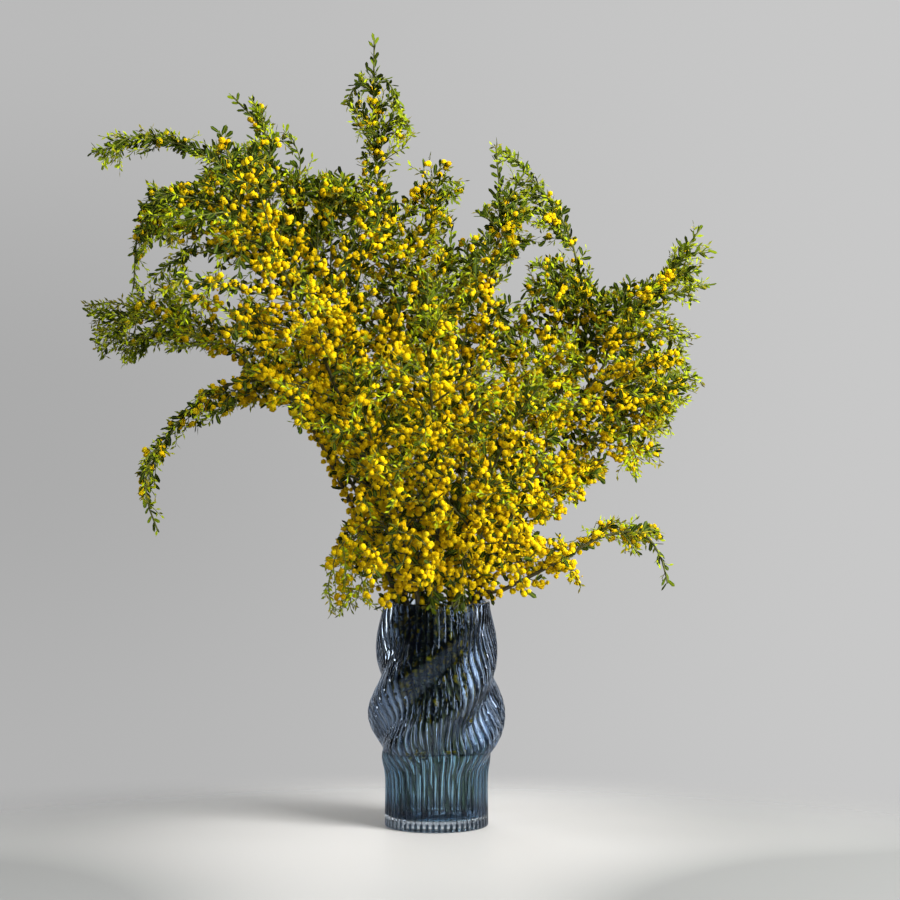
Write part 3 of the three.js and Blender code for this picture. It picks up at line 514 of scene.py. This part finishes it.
def sideways(t, turn):
    """Unit vectors square to t, turned round it from the level direction."""
    level = np.cross(t, UP)
    upright = np.linalg.norm(level, axis=-1, keepdims=True) < 0.2
    level = unit(np.where(upright, np.cross(t, [0, 1.0, 0]), level))
    return level * np.cos(turn)[..., None] + np.cross(level, t) * np.sin(turn)[..., None]


def leaning(t, turn, lean):
    """Unit vectors that lean away from t by that angle, toward the side that turn names."""
    return t * np.cos(lean)[..., None] + sideways(t, turn) * np.sin(lean)[..., None]


def bough(p, t, turn, lean, length, droop):
    """Four points of a shoot that leaves p, swings toward its parent and sinks toward its tip."""
    d = leaning(t, np.array(turn), np.array(lean))
    return [p] + [p + length * (d * f + t * 0.12 * f * f - UP * droop * f * f) for f in (0.33, 0.67, 1)]


def fits(path, room):
    """Which points, looked at from in front, fall inside the outline with that room to each side,
    and lie within the spray's depth."""
    f = VIEW_AWAY / (VIEW_AWAY + path[:, 1])
    x, z = VIEW_X + (path[:, 0] - VIEW_X) * f, VIEW_Z + (path[:, 2] - VIEW_Z) * f
    x0, z0, x1, z1 = EDGES[..., None]
    good = np.abs(path[:, 1]) < DEEPEST
    for a, b in ((room, 0), (-room, 0), (0, room), (0, -room)):
        crosses = ((z0 > z + b) != (z1 > z + b)) & (
            x0 + (z + b - z0) * (x1 - x0) / np.where(z1 == z0, 1, z1 - z0) > x + a)
        good &= crosses.sum(0) % 2 == 1
    return good


def trimmed(path, room, least):
    good = fits(path, room)
    n = len(path) if good.all() else int(np.argmin(good))
    return path[:n] if n >= least else None


def side_of_glass(points, room):
    """-1 in the bore, 1 outside the wall, 2 above the rim, and 0 in the glass or too near it."""
    r, z = np.hypot(points[:, 0], points[:, 1]), points[:, 2]
    rib = crest_radius(np.degrees(np.arctan2(points[:, 0], -points[:, 1])), np.clip(z, 0, VASE_HEIGHT))
    side = np.where(r < rib - WALL - room, -1, np.where(r > rib + room, 1, 0))
    return np.where(z > VASE_HEIGHT + room, 2, side)


def grow(index, key):
    """The branch's lines as (level, line, youth at its root, youth at its tip, shoot). Level 0 is the
    stem, 1 its side shoots, 2 twigs, 3 leafy sprigs and 4 twigs inside the glass. Youth is 0 at
    the rim and 1 at a tip."""
    _, degrees, outer = CROSSINGS[key]
    ring = RING_OUTER if outer else RING_INNER

    def at(angle, r, z):
        return np.array([r * math.cos(math.radians(angle)), r * math.sin(math.radians(angle)), z])

    foot, rim = at(degrees - STEM_TWIST, ring * 0.97, STEM_FOOT), at(degrees, ring, VASE_HEIGHT)
    stem = stem_line([foot, (foot + rim) / 2, rim, *PASSES[key]])
    start = int(np.argmax(stem[:, 2] > LOWEST_SHOOT))

    def youth(i):
        return max(0, i - start) / (len(stem) - 1 - start)

    lines = [(0, stem[:start + 1], 0, 0, 0), (0, stem[start:], 0, 1, 0)]
    for passed in SIDE_SHOOTS.get(key, []):
        near = int(np.argmin(np.linalg.norm(stem - np.array(passed[0]), axis=1)))
        line = trimmed(stem_line([stem[near], *passed[1:]]), 1, 4)
        if line is not None:
            lines.append((1, line, youth(near), 1, len(lines)))
    t = tangents(stem)
    i, n = start + int(3 * draw(index, 0, 1)), 0
    while i < len(stem) - 12:
        left = (len(stem) - 1 - i) * STEP
        a, b, c, gap = (draw(index, n, k) for k in (2, 3, 4, 5))
        length = min(150, max(38, (0.28 + 0.34 * a) * left + 22))
        sink = 0.1 + 0.28 * c * math.hypot(t[i][0], t[i][1])
        line = trimmed(stem_line(bough(stem[i], t[i], n * GOLDEN + index, math.radians(38 + 20 * b),
                                       length, sink)), 5, 4)
        if line is not None:
            lines.append((1, line, youth(i), youth(i) * 0.4 + 0.6, len(lines)))
        i += 4 + int(4 * gap) + (2 if stem[i][2] < 400 else 0)
        n += 1
    bearers = [line for line in lines if line[0]] + [lines[1]]
    for li, (_, line, y0, y1, shoot) in enumerate(bearers):
        t = tangents(line)
        i, n = 3 + int(3 * draw(index, li, 11)), 0
        while i < len(line) - 3:
            left, y = (len(line) - 1 - i) * STEP, y0 + (y1 - y0) * i / (len(line) - 1)
            g, h, e, gap = (draw(index, 50 + li, n * 7 + k) for k in (2, 3, 4, 5))
            length = min(50, max(16, (0.4 + 0.5 * g) * left + 8))
            twig = trimmed(stem_line(bough(line[i], t[i], n * GOLDEN + li * 1.3,
                                           math.radians(35 + 25 * h), length, 0.05 + 0.3 * e)), 3, 3)
            if twig is not None:
                lines.append((2, twig, y, y + (1 - y) * 0.4, shoot))
            i += 4 + int(3 * gap)
            n += 1
    for li, (level, line, y0, y1, shoot) in enumerate(lines[1:]):
        t = tangents(line)
        for n, i in enumerate(range(2 + int(3 * draw(index, li, 21)), len(line) - 1, 3)):
            y = y0 + (y1 - y0) * i / (len(line) - 1)
            g, h, e = (draw(index, 900 + li, n * 5 + k) for k in (2, 3, 4))
            if 0.55 - TUFTED.get(key, 0) + 0.4 * e < y < (0.82 if key == "F" and li == 0 else 1):
                sprig = trimmed(stem_line(bough(line[i], t[i], n * GOLDEN + li, math.radians(34 + 20 * h),
                                                15 + 18 * g, 0.02 + 0.2 * e)), 0.3, 3)
                if sprig is not None:
                    lines.append((3, sprig, y, 1, shoot))
    t = tangents(stem)
    for i in np.repeat(np.arange(int(np.argmax(stem[:, 2] > LOWEST_NECK_TWIG)), start), 2):
        g, h, e = (draw(index, 700 + i, k + 9 * (len(lines) % 2)) for k in (2, 3, 4))
        x, z = stem[i][0], stem[i][2]
        band = abs(z - 159 - 0.74 * (x + 30)) < 15 or (x < -6 and 188 < z < 222)
        twig = stem_line(bough(stem[i], t[i], len(lines) * GOLDEN + index, math.radians(35 + 30 * h),
                               16 + 22 * g, 0.1))
        if e < (1 if band else 0.03) and (np.abs(side_of_glass(twig, 3) - 0.5) == 1.5).all():
            lines.append((4, twig, 0, 0.2, 0))
    return lines


class Heap:
    """Many small closed shapes gathered into one mesh, with numbers kept on their points."""

    def __init__(self):
        self.points, self.faces, self.marks, self.count = [], [], [], 0

    def add(self, points, faces, marks):
        self.points.append(points)
        self.faces += [(f + self.count).tolist() for f in faces]
        self.marks.append(marks)
        self.count += len(points)

    def piece(self, node, kind, material, slot, names, sharp=None):
        """Makes the node's piece of that kind; names are those of the numbers on its points."""
        faces = [face for block in self.faces for face in block]
        marks = dict(zip(names, np.vstack(self.marks).T))
        make_piece(f"{node}_{kind}", np.vstack(self.points), faces, material, node, marks, sharp)


def tube(path, radii, sides):
    """A closed tapering tube: rings square to the path, each closed by a point at either end."""
    t = tangents(path)
    other = np.eye(3)[np.argmin(np.abs(t).mean(0))]
    side = unit(np.cross(t, other))
    up = np.cross(t, side)
    turn = np.arange(sides) * 2 * math.pi / sides
    ring = side[:, None] * np.cos(turn)[:, None] + up[:, None] * np.sin(turn)[:, None]
    rings = path[:, None] + ring * np.reshape(radii, (-1, 1, 1))
    points = np.vstack([rings.reshape(-1, 3), path[:1], path[-1:] + t[-1:] * radii[-1]])
    return points, skin(len(path), sides)


def thinned(path, every):
    """The line with every so many points kept, and both its ends."""
    keep = np.unique(np.round(np.linspace(0, len(path) - 1, max(2, len(path) // every + 1))).astype(int))
    return path[keep]


# For each level of line: radius at its root and tip, sides, and how many steps lie between rings.
THICK = [(2.6, 0.9, 8, 3), (1.25, 0.6, 5, 3), (0.7, 0.4, 3, 3), (0.5, 0.35, 3, 4), (0.7, 0.4, 3, 4)]
wattle = {key: grow(index, key) for index, key in enumerate(sorted(PASSES))}

bark, tree = finish_of("bark")
young, where = tree.mark("young"), tree.place()
drawn_out = tree.add("ShaderNodeMapping", inputs={"Vector": where, "Scale": (1, 1, 0.25)})
fissure = tree.noise(900, 4, 0.6, drawn_out)
wood = tree.ramp(fissure, [(0.3, (0.028, 0.022, 0.010)), (0.55, (0.062, 0.052, 0.022)),
                           (0.8, (0.13, 0.10, 0.05))])
green = tree.ramp(tree.noise(300, 2), [(0.3, (0.085, 0.115, 0.018)), (0.7, (0.17, 0.20, 0.035))])
lenticel = tree.add("ShaderNodeTexVoronoi", inputs={"Vector": where, "Scale": 700.0}).between(0.16, 0.08)
colour = tree.mix(young, wood, green)
colour = tree.mix(lenticel * (1 - young) * 0.5, colour, (0.22, 0.18, 0.10))
coat_with(tree, Base_Color=colour, Roughness=0.75 - 0.2 * young,
          Normal=tree.bump(fissure + lenticel * 0.4, 0.0004, 0.6))

for key, lines in wattle.items():
    heap = Heap()
    for level, line, y0, y1, _ in lines:
        r0, r1, sides, every = THICK[level]
        path = thinned(line, every)
        youth = y0 + (y1 - y0) * np.linspace(0, 1, len(path))
        share = youth if level == 0 else np.linspace(0, 1, len(path))
        points, faces = tube(path, r0 + (r1 - r0) * share ** 0.8, sides)
        young = np.clip(youth * 0.7 + level * 0.25 * (level < 4) - 0.15 + 0.7 * (path[:, 2] < 240), 0, 1)
        heap.add(points, faces, np.concatenate([np.repeat(young, sides), young[:1], young[-1:]])[:, None])
    heap.piece(BRANCHES[key], "wood", bark, "bark", ["young"])

# Small leaves stand all round the shoots, 3 to 4 mm apart. Old ones are dark, blunt and up to
# 15 mm long; toward a tip they are smaller and yellow-green, and some of the last are bronze. Each
# is a thin blade, a little arched, held with one edge up.

# For each branch: the share of its shoots that are new growth, and how thickly it flowers.
SEASON = {
    "A": (0.25, 0.75), "B": (0.3, 0.85), "C": (0.2, 1.0), "D": (0.2, 0.8), "E": (0.15, 0.7),
    "F": (0.3, 0.85), "G": (0.4, 0.85), "H": (0.3, 0.5), "I": (0.2, 0.75), "J": (0.4, 0.9),
    "K": (0.35, 1.0), "L": (0.35, 1.0), "M": (0.25, 1.1), "N": (0.25, 1.1), "O": (0.15, 0.7),
    "P": (0.2, 0.9), "Q": (0.15, 0.9),
}
# Shoots that are new growth whatever the draw, with bright leaves and fewer flowers.
LEAFY = {("L", 2), ("L", 3), ("L", 4), ("L", 5), ("J", 3), ("J", 4), ("J", 5), ("K", 4), ("N", 3)}
# Corners and faces of a leaf one unit long: a blunt one, and a plainer one for small leaves.
LEAF_AT = np.array([[0, 0, 0], [0.36, -0.85, 0], [0.80, -0.95, 0], [1, 0, 0], [0.80, 0.95, 0],
                    [0.36, 0.85, 0], [0.58, 0, 1], [0.58, 0, -1]])
LEAF_FACES = np.array([[i, (i + 1) % 6, 6] for i in range(6)] + [[(i + 1) % 6, i, 7] for i in range(6)])
SMALL_AT = np.array([[0, 0, 0], [0.55, -1, 0], [1, 0, 0], [0.55, 1, 0], [0.5, 0, 1], [0.5, 0, -1]])
SMALL_FACES = np.array([[i, (i + 1) % 4, 4] for i in range(4)] + [[(i + 1) % 4, i, 5] for i in range(4)])


def strewn(shape, faces, origin, along, across, face_up):
    """Copies of a small shape: each of its points times the copy's own three axes, from its origin."""
    points = (origin[:, None] + shape[None, :, :1] * along[:, None] + shape[None, :, 1:2] * across[:, None]
              + shape[None, :, 2:] * face_up[:, None])
    offset = np.arange(len(origin))[:, None, None] * len(shape)
    return points.reshape(-1, 3), (faces[None] + offset).reshape(-1, faces.shape[1])


def beads(path, first, gap):
    """Places every gap along the line after the first: points, directions, distances, length."""
    reach = np.concatenate([[0], np.cumsum(np.linalg.norm(np.diff(path, axis=0), axis=1))])
    s = np.arange(first, reach[-1], gap)
    t = tangents(path)
    return (np.stack([np.interp(s, reach, path[:, i]) for i in range(3)], 1),
            unit(np.stack([np.interp(s, reach, t[:, i]) for i in range(3)], 1)), s, reach[-1])


# What each row of a leaf's numbers holds after its place and its shoot's direction.
AGE, YOUTH, TURN, LEVEL, NEW_GROWTH, TONE, BEARING, DEEP = range(6, 14)

phyllode, tree = finish_of("phyllode")
young, shade, rim = tree.mark("young"), tree.mark("shade"), tree.mark("edge")
tint = tree.ramp(young, [(0.0, (0.013, 0.032, 0.002)), (0.3, (0.040, 0.072, 0.002)),
                         (0.5, (0.21, 0.28, 0.003)), (0.8, (0.41, 0.49, 0.004)), (1.0, (0.43, 0.46, 0.006))])
bronze = young.between(0.66, 0.8) * shade.between(0.54, 0.66)
tint = tree.mix(bronze * 0.75, tint, (0.17, 0.10, 0.010))
tint = tree.mix((1 - shade) * 0.8, tint, (0.46, 0.52, 0.42), "MULTIPLY")
# Painted sheen: some old leaves are painted a lighter grey-green, as a glossy highlight.
tint = tree.mix((1 - young) * shade.between(0.6, 0.95) * 0.28, tint, (0.095, 0.125, 0.030))
tint = tree.mix((1 - rim) ** 6 * 0.3, tint, (0.36, 0.40, 0.03))
# Painted shade: leaves inside the vase are painted darker.
tint = tree.mix(tree.painted_shade_below_rim() * 0.85, tint, (0.22, 0.20, 0.2), "MULTIPLY")
grain = tree.noise(1400, 2)
coat_with(tree, Base_Color=tint, Roughness=0.5 + 0.2 * grain, Specular_IOR_Level=0.12,
          Normal=tree.bump(grain, 0.0002, 0.35))


def shelter(p, weight):
    """How much growth lies between each point and the open air, on its least covered side of 14."""
    cell = 14.0
    low = p.min(0) - cell
    at = ((p - low) / cell).astype(int)
    size = at.max(0) + 2
    grid = np.zeros(size)
    np.add.at(grid, tuple(at.T), weight)
    steps = np.indices((3, 3, 3)).reshape(3, -1).T - 1
    sides = steps[np.isin(np.abs(steps).sum(1), (1, 3))]
    least = np.full(len(p), 99.0)
    for side in sides:
        total = grid[tuple(at.T)] * 0.5
        for step in range(1, 16):
            near = at + side * step
            good = ((near >= 0) & (near < size)).all(1)
            total[good] += grid[tuple(near[good].T)]
        least = np.minimum(least, total)
    return least


# Millimetres from leaf to leaf, and the chance of flowers at a leaf, for each level of line.
LEAF_GAP = (3.3, 3.8, 4.3, 4, 3.4)
FLOWER_CHANCE = np.array([0.7, 0.95, 0.85, 0, 0.8])
blades = {}
for index, (key, lines) in enumerate(wattle.items()):
    rng = np.random.default_rng(1000 + index)
    fresh_share, bloom = SEASON[key]
    found = []
    for level, line, y0, y1, shoot in lines:
        drawn_fresh = shoot > 0 and draw(index, shoot, 31) < fresh_share
        fresh = level == 3 or (key, shoot) in LEAFY or drawn_fresh
        if y1 == 0:
            line = line[line[:, 2] > LOWEST_NECK_TWIG]
        p, t, s, total = beads(line, 2 + 2 * rng.random(), 3.3 if fresh else LEAF_GAP[level])
        if not len(p):
            continue
        youth = y0 + (y1 - y0) * s / total
        old = np.clip(3 * youth - 2.5, 0, 0.42 if level == 0 else 0.6)
        age = np.where(fresh, 0.5 + 0.35 * youth, old) + rng.normal(0, 0.07, len(s))
        turn, each = np.arange(len(s)) * GOLDEN + rng.random() * 6, np.ones(len(s))
        found.append(np.column_stack([p, t, age, youth, turn, each * level, each * fresh,
                                      each * rng.random(), each * draw(index, shoot, 33)]))
    rows = np.vstack(found)
    chance = bloom * FLOWER_CHANCE[rows[:, LEVEL].astype(int)]
    chance *= np.clip(1 - (rows[:, YOUTH] - 0.52) / 0.42, 0, 1) * np.where(rows[:, 2] < 255, 0.16, 1)
    rows[:, BEARING] = chance * (1 - 0.4 * rows[:, NEW_GROWTH]) * (0.78 + 0.88 * rows[:, BEARING])
    blades[key] = rows
everywhere = np.vstack(list(blades.values()))
deep = shelter(everywhere[:, :3], 0.1 + 0.5 * everywhere[:, BEARING]) * (everywhere[:, 2] > 245)
first = 0
for index, key in enumerate(blades):
    rng = np.random.default_rng(1500 + index)
    rows = np.column_stack([blades[key], deep[first:first + len(blades[key])]])
    first += len(rows)
    blades[key] = rows[rng.random(len(rows)) < np.clip(1.5 - rows[:, DEEP] / 1.4, 0.05, 1)]
    keep = np.clip(1.5 - rows[:, DEEP] / 2.1, 0.30, 1) * (1 - 0.55 * rows[:, BEARING])
    rows = rows[rng.random(len(rows)) < keep]
    n = len(rows)
    p, t, age = rows[:, :3], rows[:, 3:6], np.clip(rows[:, AGE], 0, 1)
    turn = rows[:, TURN] + rng.normal(0, 0.3, n)
    d = leaning(t, turn, np.radians(60 - 22 * rows[:, YOUTH] + rng.normal(0, 9, n)))
    tilt = rng.normal(0, 0.6, n)
    flat = unit(np.cross(d, t))
    up = flat * np.cos(tilt)[:, None] + np.cross(d, flat) * np.sin(tilt)[:, None]
    length = (13.2 - 6.2 * age) * rng.uniform(0.8, 1.15, n)
    half = (2.45 - 1.35 * age) * rng.uniform(0.85, 1.15, n)
    tip = p + d * length[:, None]
    sides = side_of_glass(p, 1.2) * side_of_glass(tip, 1.2)
    ok = (sides != 0) & (sides != -1) & (np.abs(tip[:, 1]) < DEEPEST + 6)
    tone = 0.55 * rows[:, TONE] + 0.45 * rng.random(n)
    p, d, up, length, half, age, tone = (v[ok] for v in (p, d, up, length, half, age, tone))
    across, bend = np.cross(up, d) * half[:, None], rng.normal(0.10, 0.10, len(p)) * length
    heap = Heap()
    for shape, faces, mine in ((LEAF_AT, LEAF_FACES, age < 0.5), (SMALL_AT, SMALL_FACES, age >= 0.5)):
        along = d[mine] * length[mine, None]
        points, faces = strewn(shape, faces, p[mine], along, across[mine], up[mine] * 0.35)
        arch = bend[mine, None, None] * shape[None, :, :1] ** 2 * up[mine, None]
        mark = np.stack([np.repeat(age[mine], len(shape)), np.repeat(tone[mine], len(shape)),
                         np.tile(np.abs(shape[:, 1]), mine.sum())], 1)
        heap.add(points + arch.reshape(-1, 3), [faces], mark)
    heap.piece(BRANCHES[key], "leaves", phyllode, "leaf", ["young", "shade", "edge"], sharp=40)

# The flowers are round golden heads, about 7 mm across, each a ball of many tiny florets on a short
# stalk from the foot of a leaf. They stand singly or two to four together along the older part of
# each shoot, and the tips carry none.


def ball(columns, rings):
    """A closed ball of unit radius on rings of latitude, every other ring turned by half a step."""
    lat = np.linspace(0, math.pi, rings + 2)[1:-1, None]
    lon = (np.arange(columns) + 0.5 * (np.arange(rings) % 2)[:, None]) * 2 * math.pi / columns
    round_it = np.stack([np.sin(lat) * np.cos(lon), np.sin(lat) * np.sin(lon), -np.cos(lat) + 0 * lon], -1)
    points = np.vstack([round_it.reshape(-1, 3), [[0, 0, -1], [0, 0, 1]]])
    row, column = np.indices((rings - 1, columns))
    a, b = row * columns + column, row * columns + (column + 1) % columns
    c, d, odd = a + columns, b + columns, row[..., None] % 2 == 1
    one = np.where(odd, np.stack([a, b, d], -1), np.stack([a, b, c], -1)).reshape(-1, 3)
    two = np.where(odd, np.stack([a, d, c], -1), np.stack([b, d, c], -1)).reshape(-1, 3)
    return points, np.vstack([one, two, skin(rings, columns)[1]])


# A stalk is a three-sided spike from the shoot to the middle of its head.
STALK = np.array([[0, math.cos(a), math.sin(a)] for a in (0, 2.094, 4.189)] + [[1, 0, 0]])
STALK_FACES = np.array([[0, 2, 1], [0, 1, 3], [1, 2, 3], [2, 0, 3]])

pollen, tree = finish_of("pollen")
shade = tree.mark("shade")
floret = tree.add("ShaderNodeTexVoronoi", inputs={"Vector": tree.place(), "Scale": 1100.0})
gold = tree.ramp(shade, [(0.0, (0.78, 0.50, 0.003)), (0.3, (0.88, 0.62, 0.004)), (0.8, (0.92, 0.69, 0.005)),
                         (1.0, (0.92, 0.74, 0.012))])
# Painted shade: heads inside the vase are painted darker.
gold = tree.mix(tree.painted_shade_below_rim() * 0.85, gold, (0.42, 0.42, 0.4), "MULTIPLY")
# Painted shade: the gaps between the tiny florets are painted darker.
gold = tree.mix(floret.between(0.15, 0.6) * 0.55, gold, (0.66, 0.54, 0.3), "MULTIPLY")
coat_with(tree, Base_Color=gold, Roughness=0.9, Specular_IOR_Level=0.15,
          Normal=tree.bump(1 - floret, 0.0009))

for index, (key, rows) in enumerate(blades.items()):
    rng = np.random.default_rng(2000 + index)
    count = np.where(rng.random(len(rows)) < rows[:, BEARING], rng.choice([1, 2, 3, 4], len(rows)), 0)
    buds = np.repeat(np.arange(len(rows)), count)
    p, t = rows[buds, :3], rows[buds, 3:6]
    n = len(buds)
    d = leaning(t, rows[buds, TURN] + rng.normal(0, 0.7, n), np.radians(rng.uniform(40, 95, n)))
    d = unit(d + rng.normal(0, 0.2, (n, 3)))
    stand = rng.uniform(4.5, 8.5, n)
    size = np.where(rng.random(n) < 0.22, rng.uniform(1.2, 2.4, n), rng.normal(3.4, 0.4, n))
    centre = p + d * stand[:, None]
    if BRANCHES[key] == "branch_front_right":
        # Fallen heads float on the water along the front of the glass.
        n = 22
        x = np.where(rng.random(n) < 0.6, rng.uniform(-32, -10, n), rng.uniform(12, 28, n))
        y = rng.uniform(0, 9, n) - (50 ** 2 - x ** 2) ** 0.5
        lying = np.column_stack([x, y, np.full(n, WATER_TOP + 0.8)])
        way = unit(np.column_stack([rng.normal(size=(n, 2)), np.zeros(n)]))
        p, d, centre = (np.vstack(both) for both in ((p, lying - way * 4), (d, way), (centre, lying)))
        stand, size = np.append(stand, np.full(n, 4)), np.append(size, rng.uniform(1.2, 3.0, n))
    sides = side_of_glass(p, 0.5) * side_of_glass(centre, 4.2)
    ok = (sides != 0) & (sides != -1) & (np.abs(centre[:, 1]) < DEEPEST + 4)
    hidden = np.append(rows[buds, DEEP], np.zeros(len(p) - len(buds))) > 0.45
    p, d, stand, size, centre, hidden = (v[ok] for v in (p, d, stand, size, centre, hidden))
    n = len(p)
    a = unit(rng.normal(size=(n, 3)))
    b = unit(np.cross(a, rng.normal(size=(n, 3))))
    c = np.cross(a, b)
    heap = Heap()
    full = size > 2.5
    for corners, mine in (((6, 3), full & ~hidden), ((5, 2), full & hidden), ((4, 1), ~full)):
        shape, faces = ball(*corners)
        bumpy = size[mine, None, None] * rng.normal(1, 0.055, (mine.sum(), len(shape), 1))
        points, faces = strewn(shape, faces, 0 * a[mine], a[mine], b[mine], c[mine])
        points = centre[mine, None] + bumpy * points.reshape(-1, len(shape), 3)
        heap.add(points.reshape(-1, 3), [faces], np.repeat(rng.random(mine.sum()), len(shape))[:, None])
    heap.piece(BRANCHES[key], "flowers", pollen, "bloom", ["shade"])
    p, d, stand = p[~hidden], d[~hidden], stand[~hidden]
    side = unit(np.cross(d, [0.3, 0.5, 0.8]))
    points, faces = strewn(STALK, STALK_FACES, p, d * stand[:, None], side * 0.35, np.cross(d, side) * 0.35)
    heap = Heap()
    heap.add(points, [faces], np.full((len(points), 1), 0.8))
    heap.piece(BRANCHES[key], "stalks", bark, "bark", ["young"])

# The table top and the studio: a pale floor that fades into a plain grey ground, with painted shade
# that makes it darker to the sides, toward the viewer, far from the vase and on the main lamp's side;
# large soft lights from the right and front, and weaker ones from above, behind and the left.

floor_mesh = bpy.data.meshes.new("floor")
TABLE_RADIUS, CORNERS = 1.6, 96
ring = np.arange(CORNERS) * 2 * math.pi / CORNERS
disc = np.stack([TABLE_RADIUS * np.cos(ring), TABLE_RADIUS * np.sin(ring), 0 * ring - 0.0002], 1)
floor_mesh.from_pydata(disc, [], [list(range(CORNERS))])
floor = placed("floor", floor_mesh)
floor_with_painted_shade, tree = finish_of("table_with_painted_shade")
x, y = tree.part(tree.place(), "X"), tree.part(tree.place(), "Y")
out = (x ** 2 * 0.5 + (y + 0.26) ** 2) ** 0.5
seen = 1 - out.between(0.30, 0.66)
# Painted shade: the floor's colour is darkened to the sides, toward the viewer, far from the vase and on the
# main lamp's side.
aside = abs(x + 0.04).between(0.05, 0.42)
near = (0 - y).between(0.1, 0.45)
far = (x ** 2 + y ** 2) ** 0.5
lamp_side = (0.78 * x - 0.62 * y).between(0.3, 0.75)
grey = aside * (0.8 + 0.15 * near) + 0.5 * near + far.between(0.5, 0.95) + 0.35 * lamp_side
pale_with_painted_shade = tree.mix(grey, (0.57, 0.565, 0.55), (0.23, 0.235, 0.23))
shader = tree.add("ShaderNodeBsdfPrincipled", inputs={"Base Color": pale_with_painted_shade, "Roughness": 0.42,
                                                      "Specular IOR Level": 0.22})
clear = tree.add("ShaderNodeBsdfTransparent")
both = tree.add("ShaderNodeMixShader", inputs={0: seen, 1: clear, 2: shader})
tree.add("ShaderNodeOutputMaterial", inputs={"Surface": both})
floor_mesh.materials.append(floor_with_painted_shade)

world = bpy.data.worlds.new("studio")
world.use_nodes = True
bpy.context.scene.world = world
tree = Tree(world.node_tree)
aim = tree.add("ShaderNodeTexCoord", output="Generated")
x, y, z = (tree.part(aim, axis) for axis in "XYZ")
left = 1 - x.between(-0.2, 0.2)
wall = 0.58 - left * (0.175 - 0.085 * z.between(0, 0.15) - 0.045 * (1 - z.between(-0.15, -0.02)))
back = y.between(0.76, 0.97) * (1 - abs(z).between(0.2, 0.7))
room = 0.03 + 0.64 * back + 0.16 * z.between(0.3, 0.9)
shown, lit = (tree.add("ShaderNodeBackground", inputs={"Color": tree.mix(grey, (0, 0, 0), (1, 1, 1))})
              for grey in (wall, room))
camera_ray = tree.add("ShaderNodeLightPath", output="Is Camera Ray")
both = tree.add("ShaderNodeMixShader", inputs={0: camera_ray, 1: lit, 2: shown})
tree.add("ShaderNodeOutputWorld", inputs={"Surface": both})


def soft_light(name, place, size, power, colour=(1, 1, 1), mirrored=True):
    """A flat lamp aimed at the spray. Glass and leaves don't mirror it unless that is set."""
    data = bpy.data.lights.new(name, "AREA")
    data.shape, data.size, data.size_y, data.energy, data.color = "RECTANGLE", *size, power, colour
    light = placed(name, data)
    light.location = place
    light.rotation_euler = (Vector((0, 0, 0.42)) - Vector(place)).to_track_quat("-Z", "Y").to_euler()
    light.visible_camera, light.visible_glossy = False, mirrored


soft_light("key_right", (1.9, -1.5, 1.6), (1.3, 1.6), 160, (1, 0.99, 0.98), mirrored=False)
soft_light("sheet_right", (2.1, -1.1, 0.9), (0.9, 1.9), 42)
soft_light("top", (0.2, 0.2, 2.4), (1.0, 1.0), 22, mirrored=False)
soft_light("back", (-0.8, 2.2, 1.5), (1.0, 1.0), 26, mirrored=False)
soft_light("sheet_left", (-1.6, -1.3, 1.9), (0.6, 0.6), 8, (0.97, 0.98, 1))
soft_light("fill_front", (0.2, -2.6, 0.9), (1.6, 1.4), 4, mirrored=False)
for side, degrees, power in (("left", -56, 4), ("back_right", 118, 5), ("back_left", -124, 4)):
    x, y = 2.0 * math.sin(math.radians(degrees)), -2.0 * math.cos(math.radians(degrees))
    soft_light("strip_" + side, (x, y, 0.3), (0.14, 1.9), power)

camera_data = bpy.data.cameras.new("camera")
camera_data.lens, camera_data.sensor_width = 98.8, 36
camera = placed("camera", camera_data)
camera.location = (VIEW_X * MM, -VIEW_AWAY * MM, VIEW_Z * MM)
camera.rotation_euler = (math.radians(90 - 1.16), 0, 0)
bpy.context.scene.camera = camera
bpy.context.scene.view_settings.view_transform = "Standard"
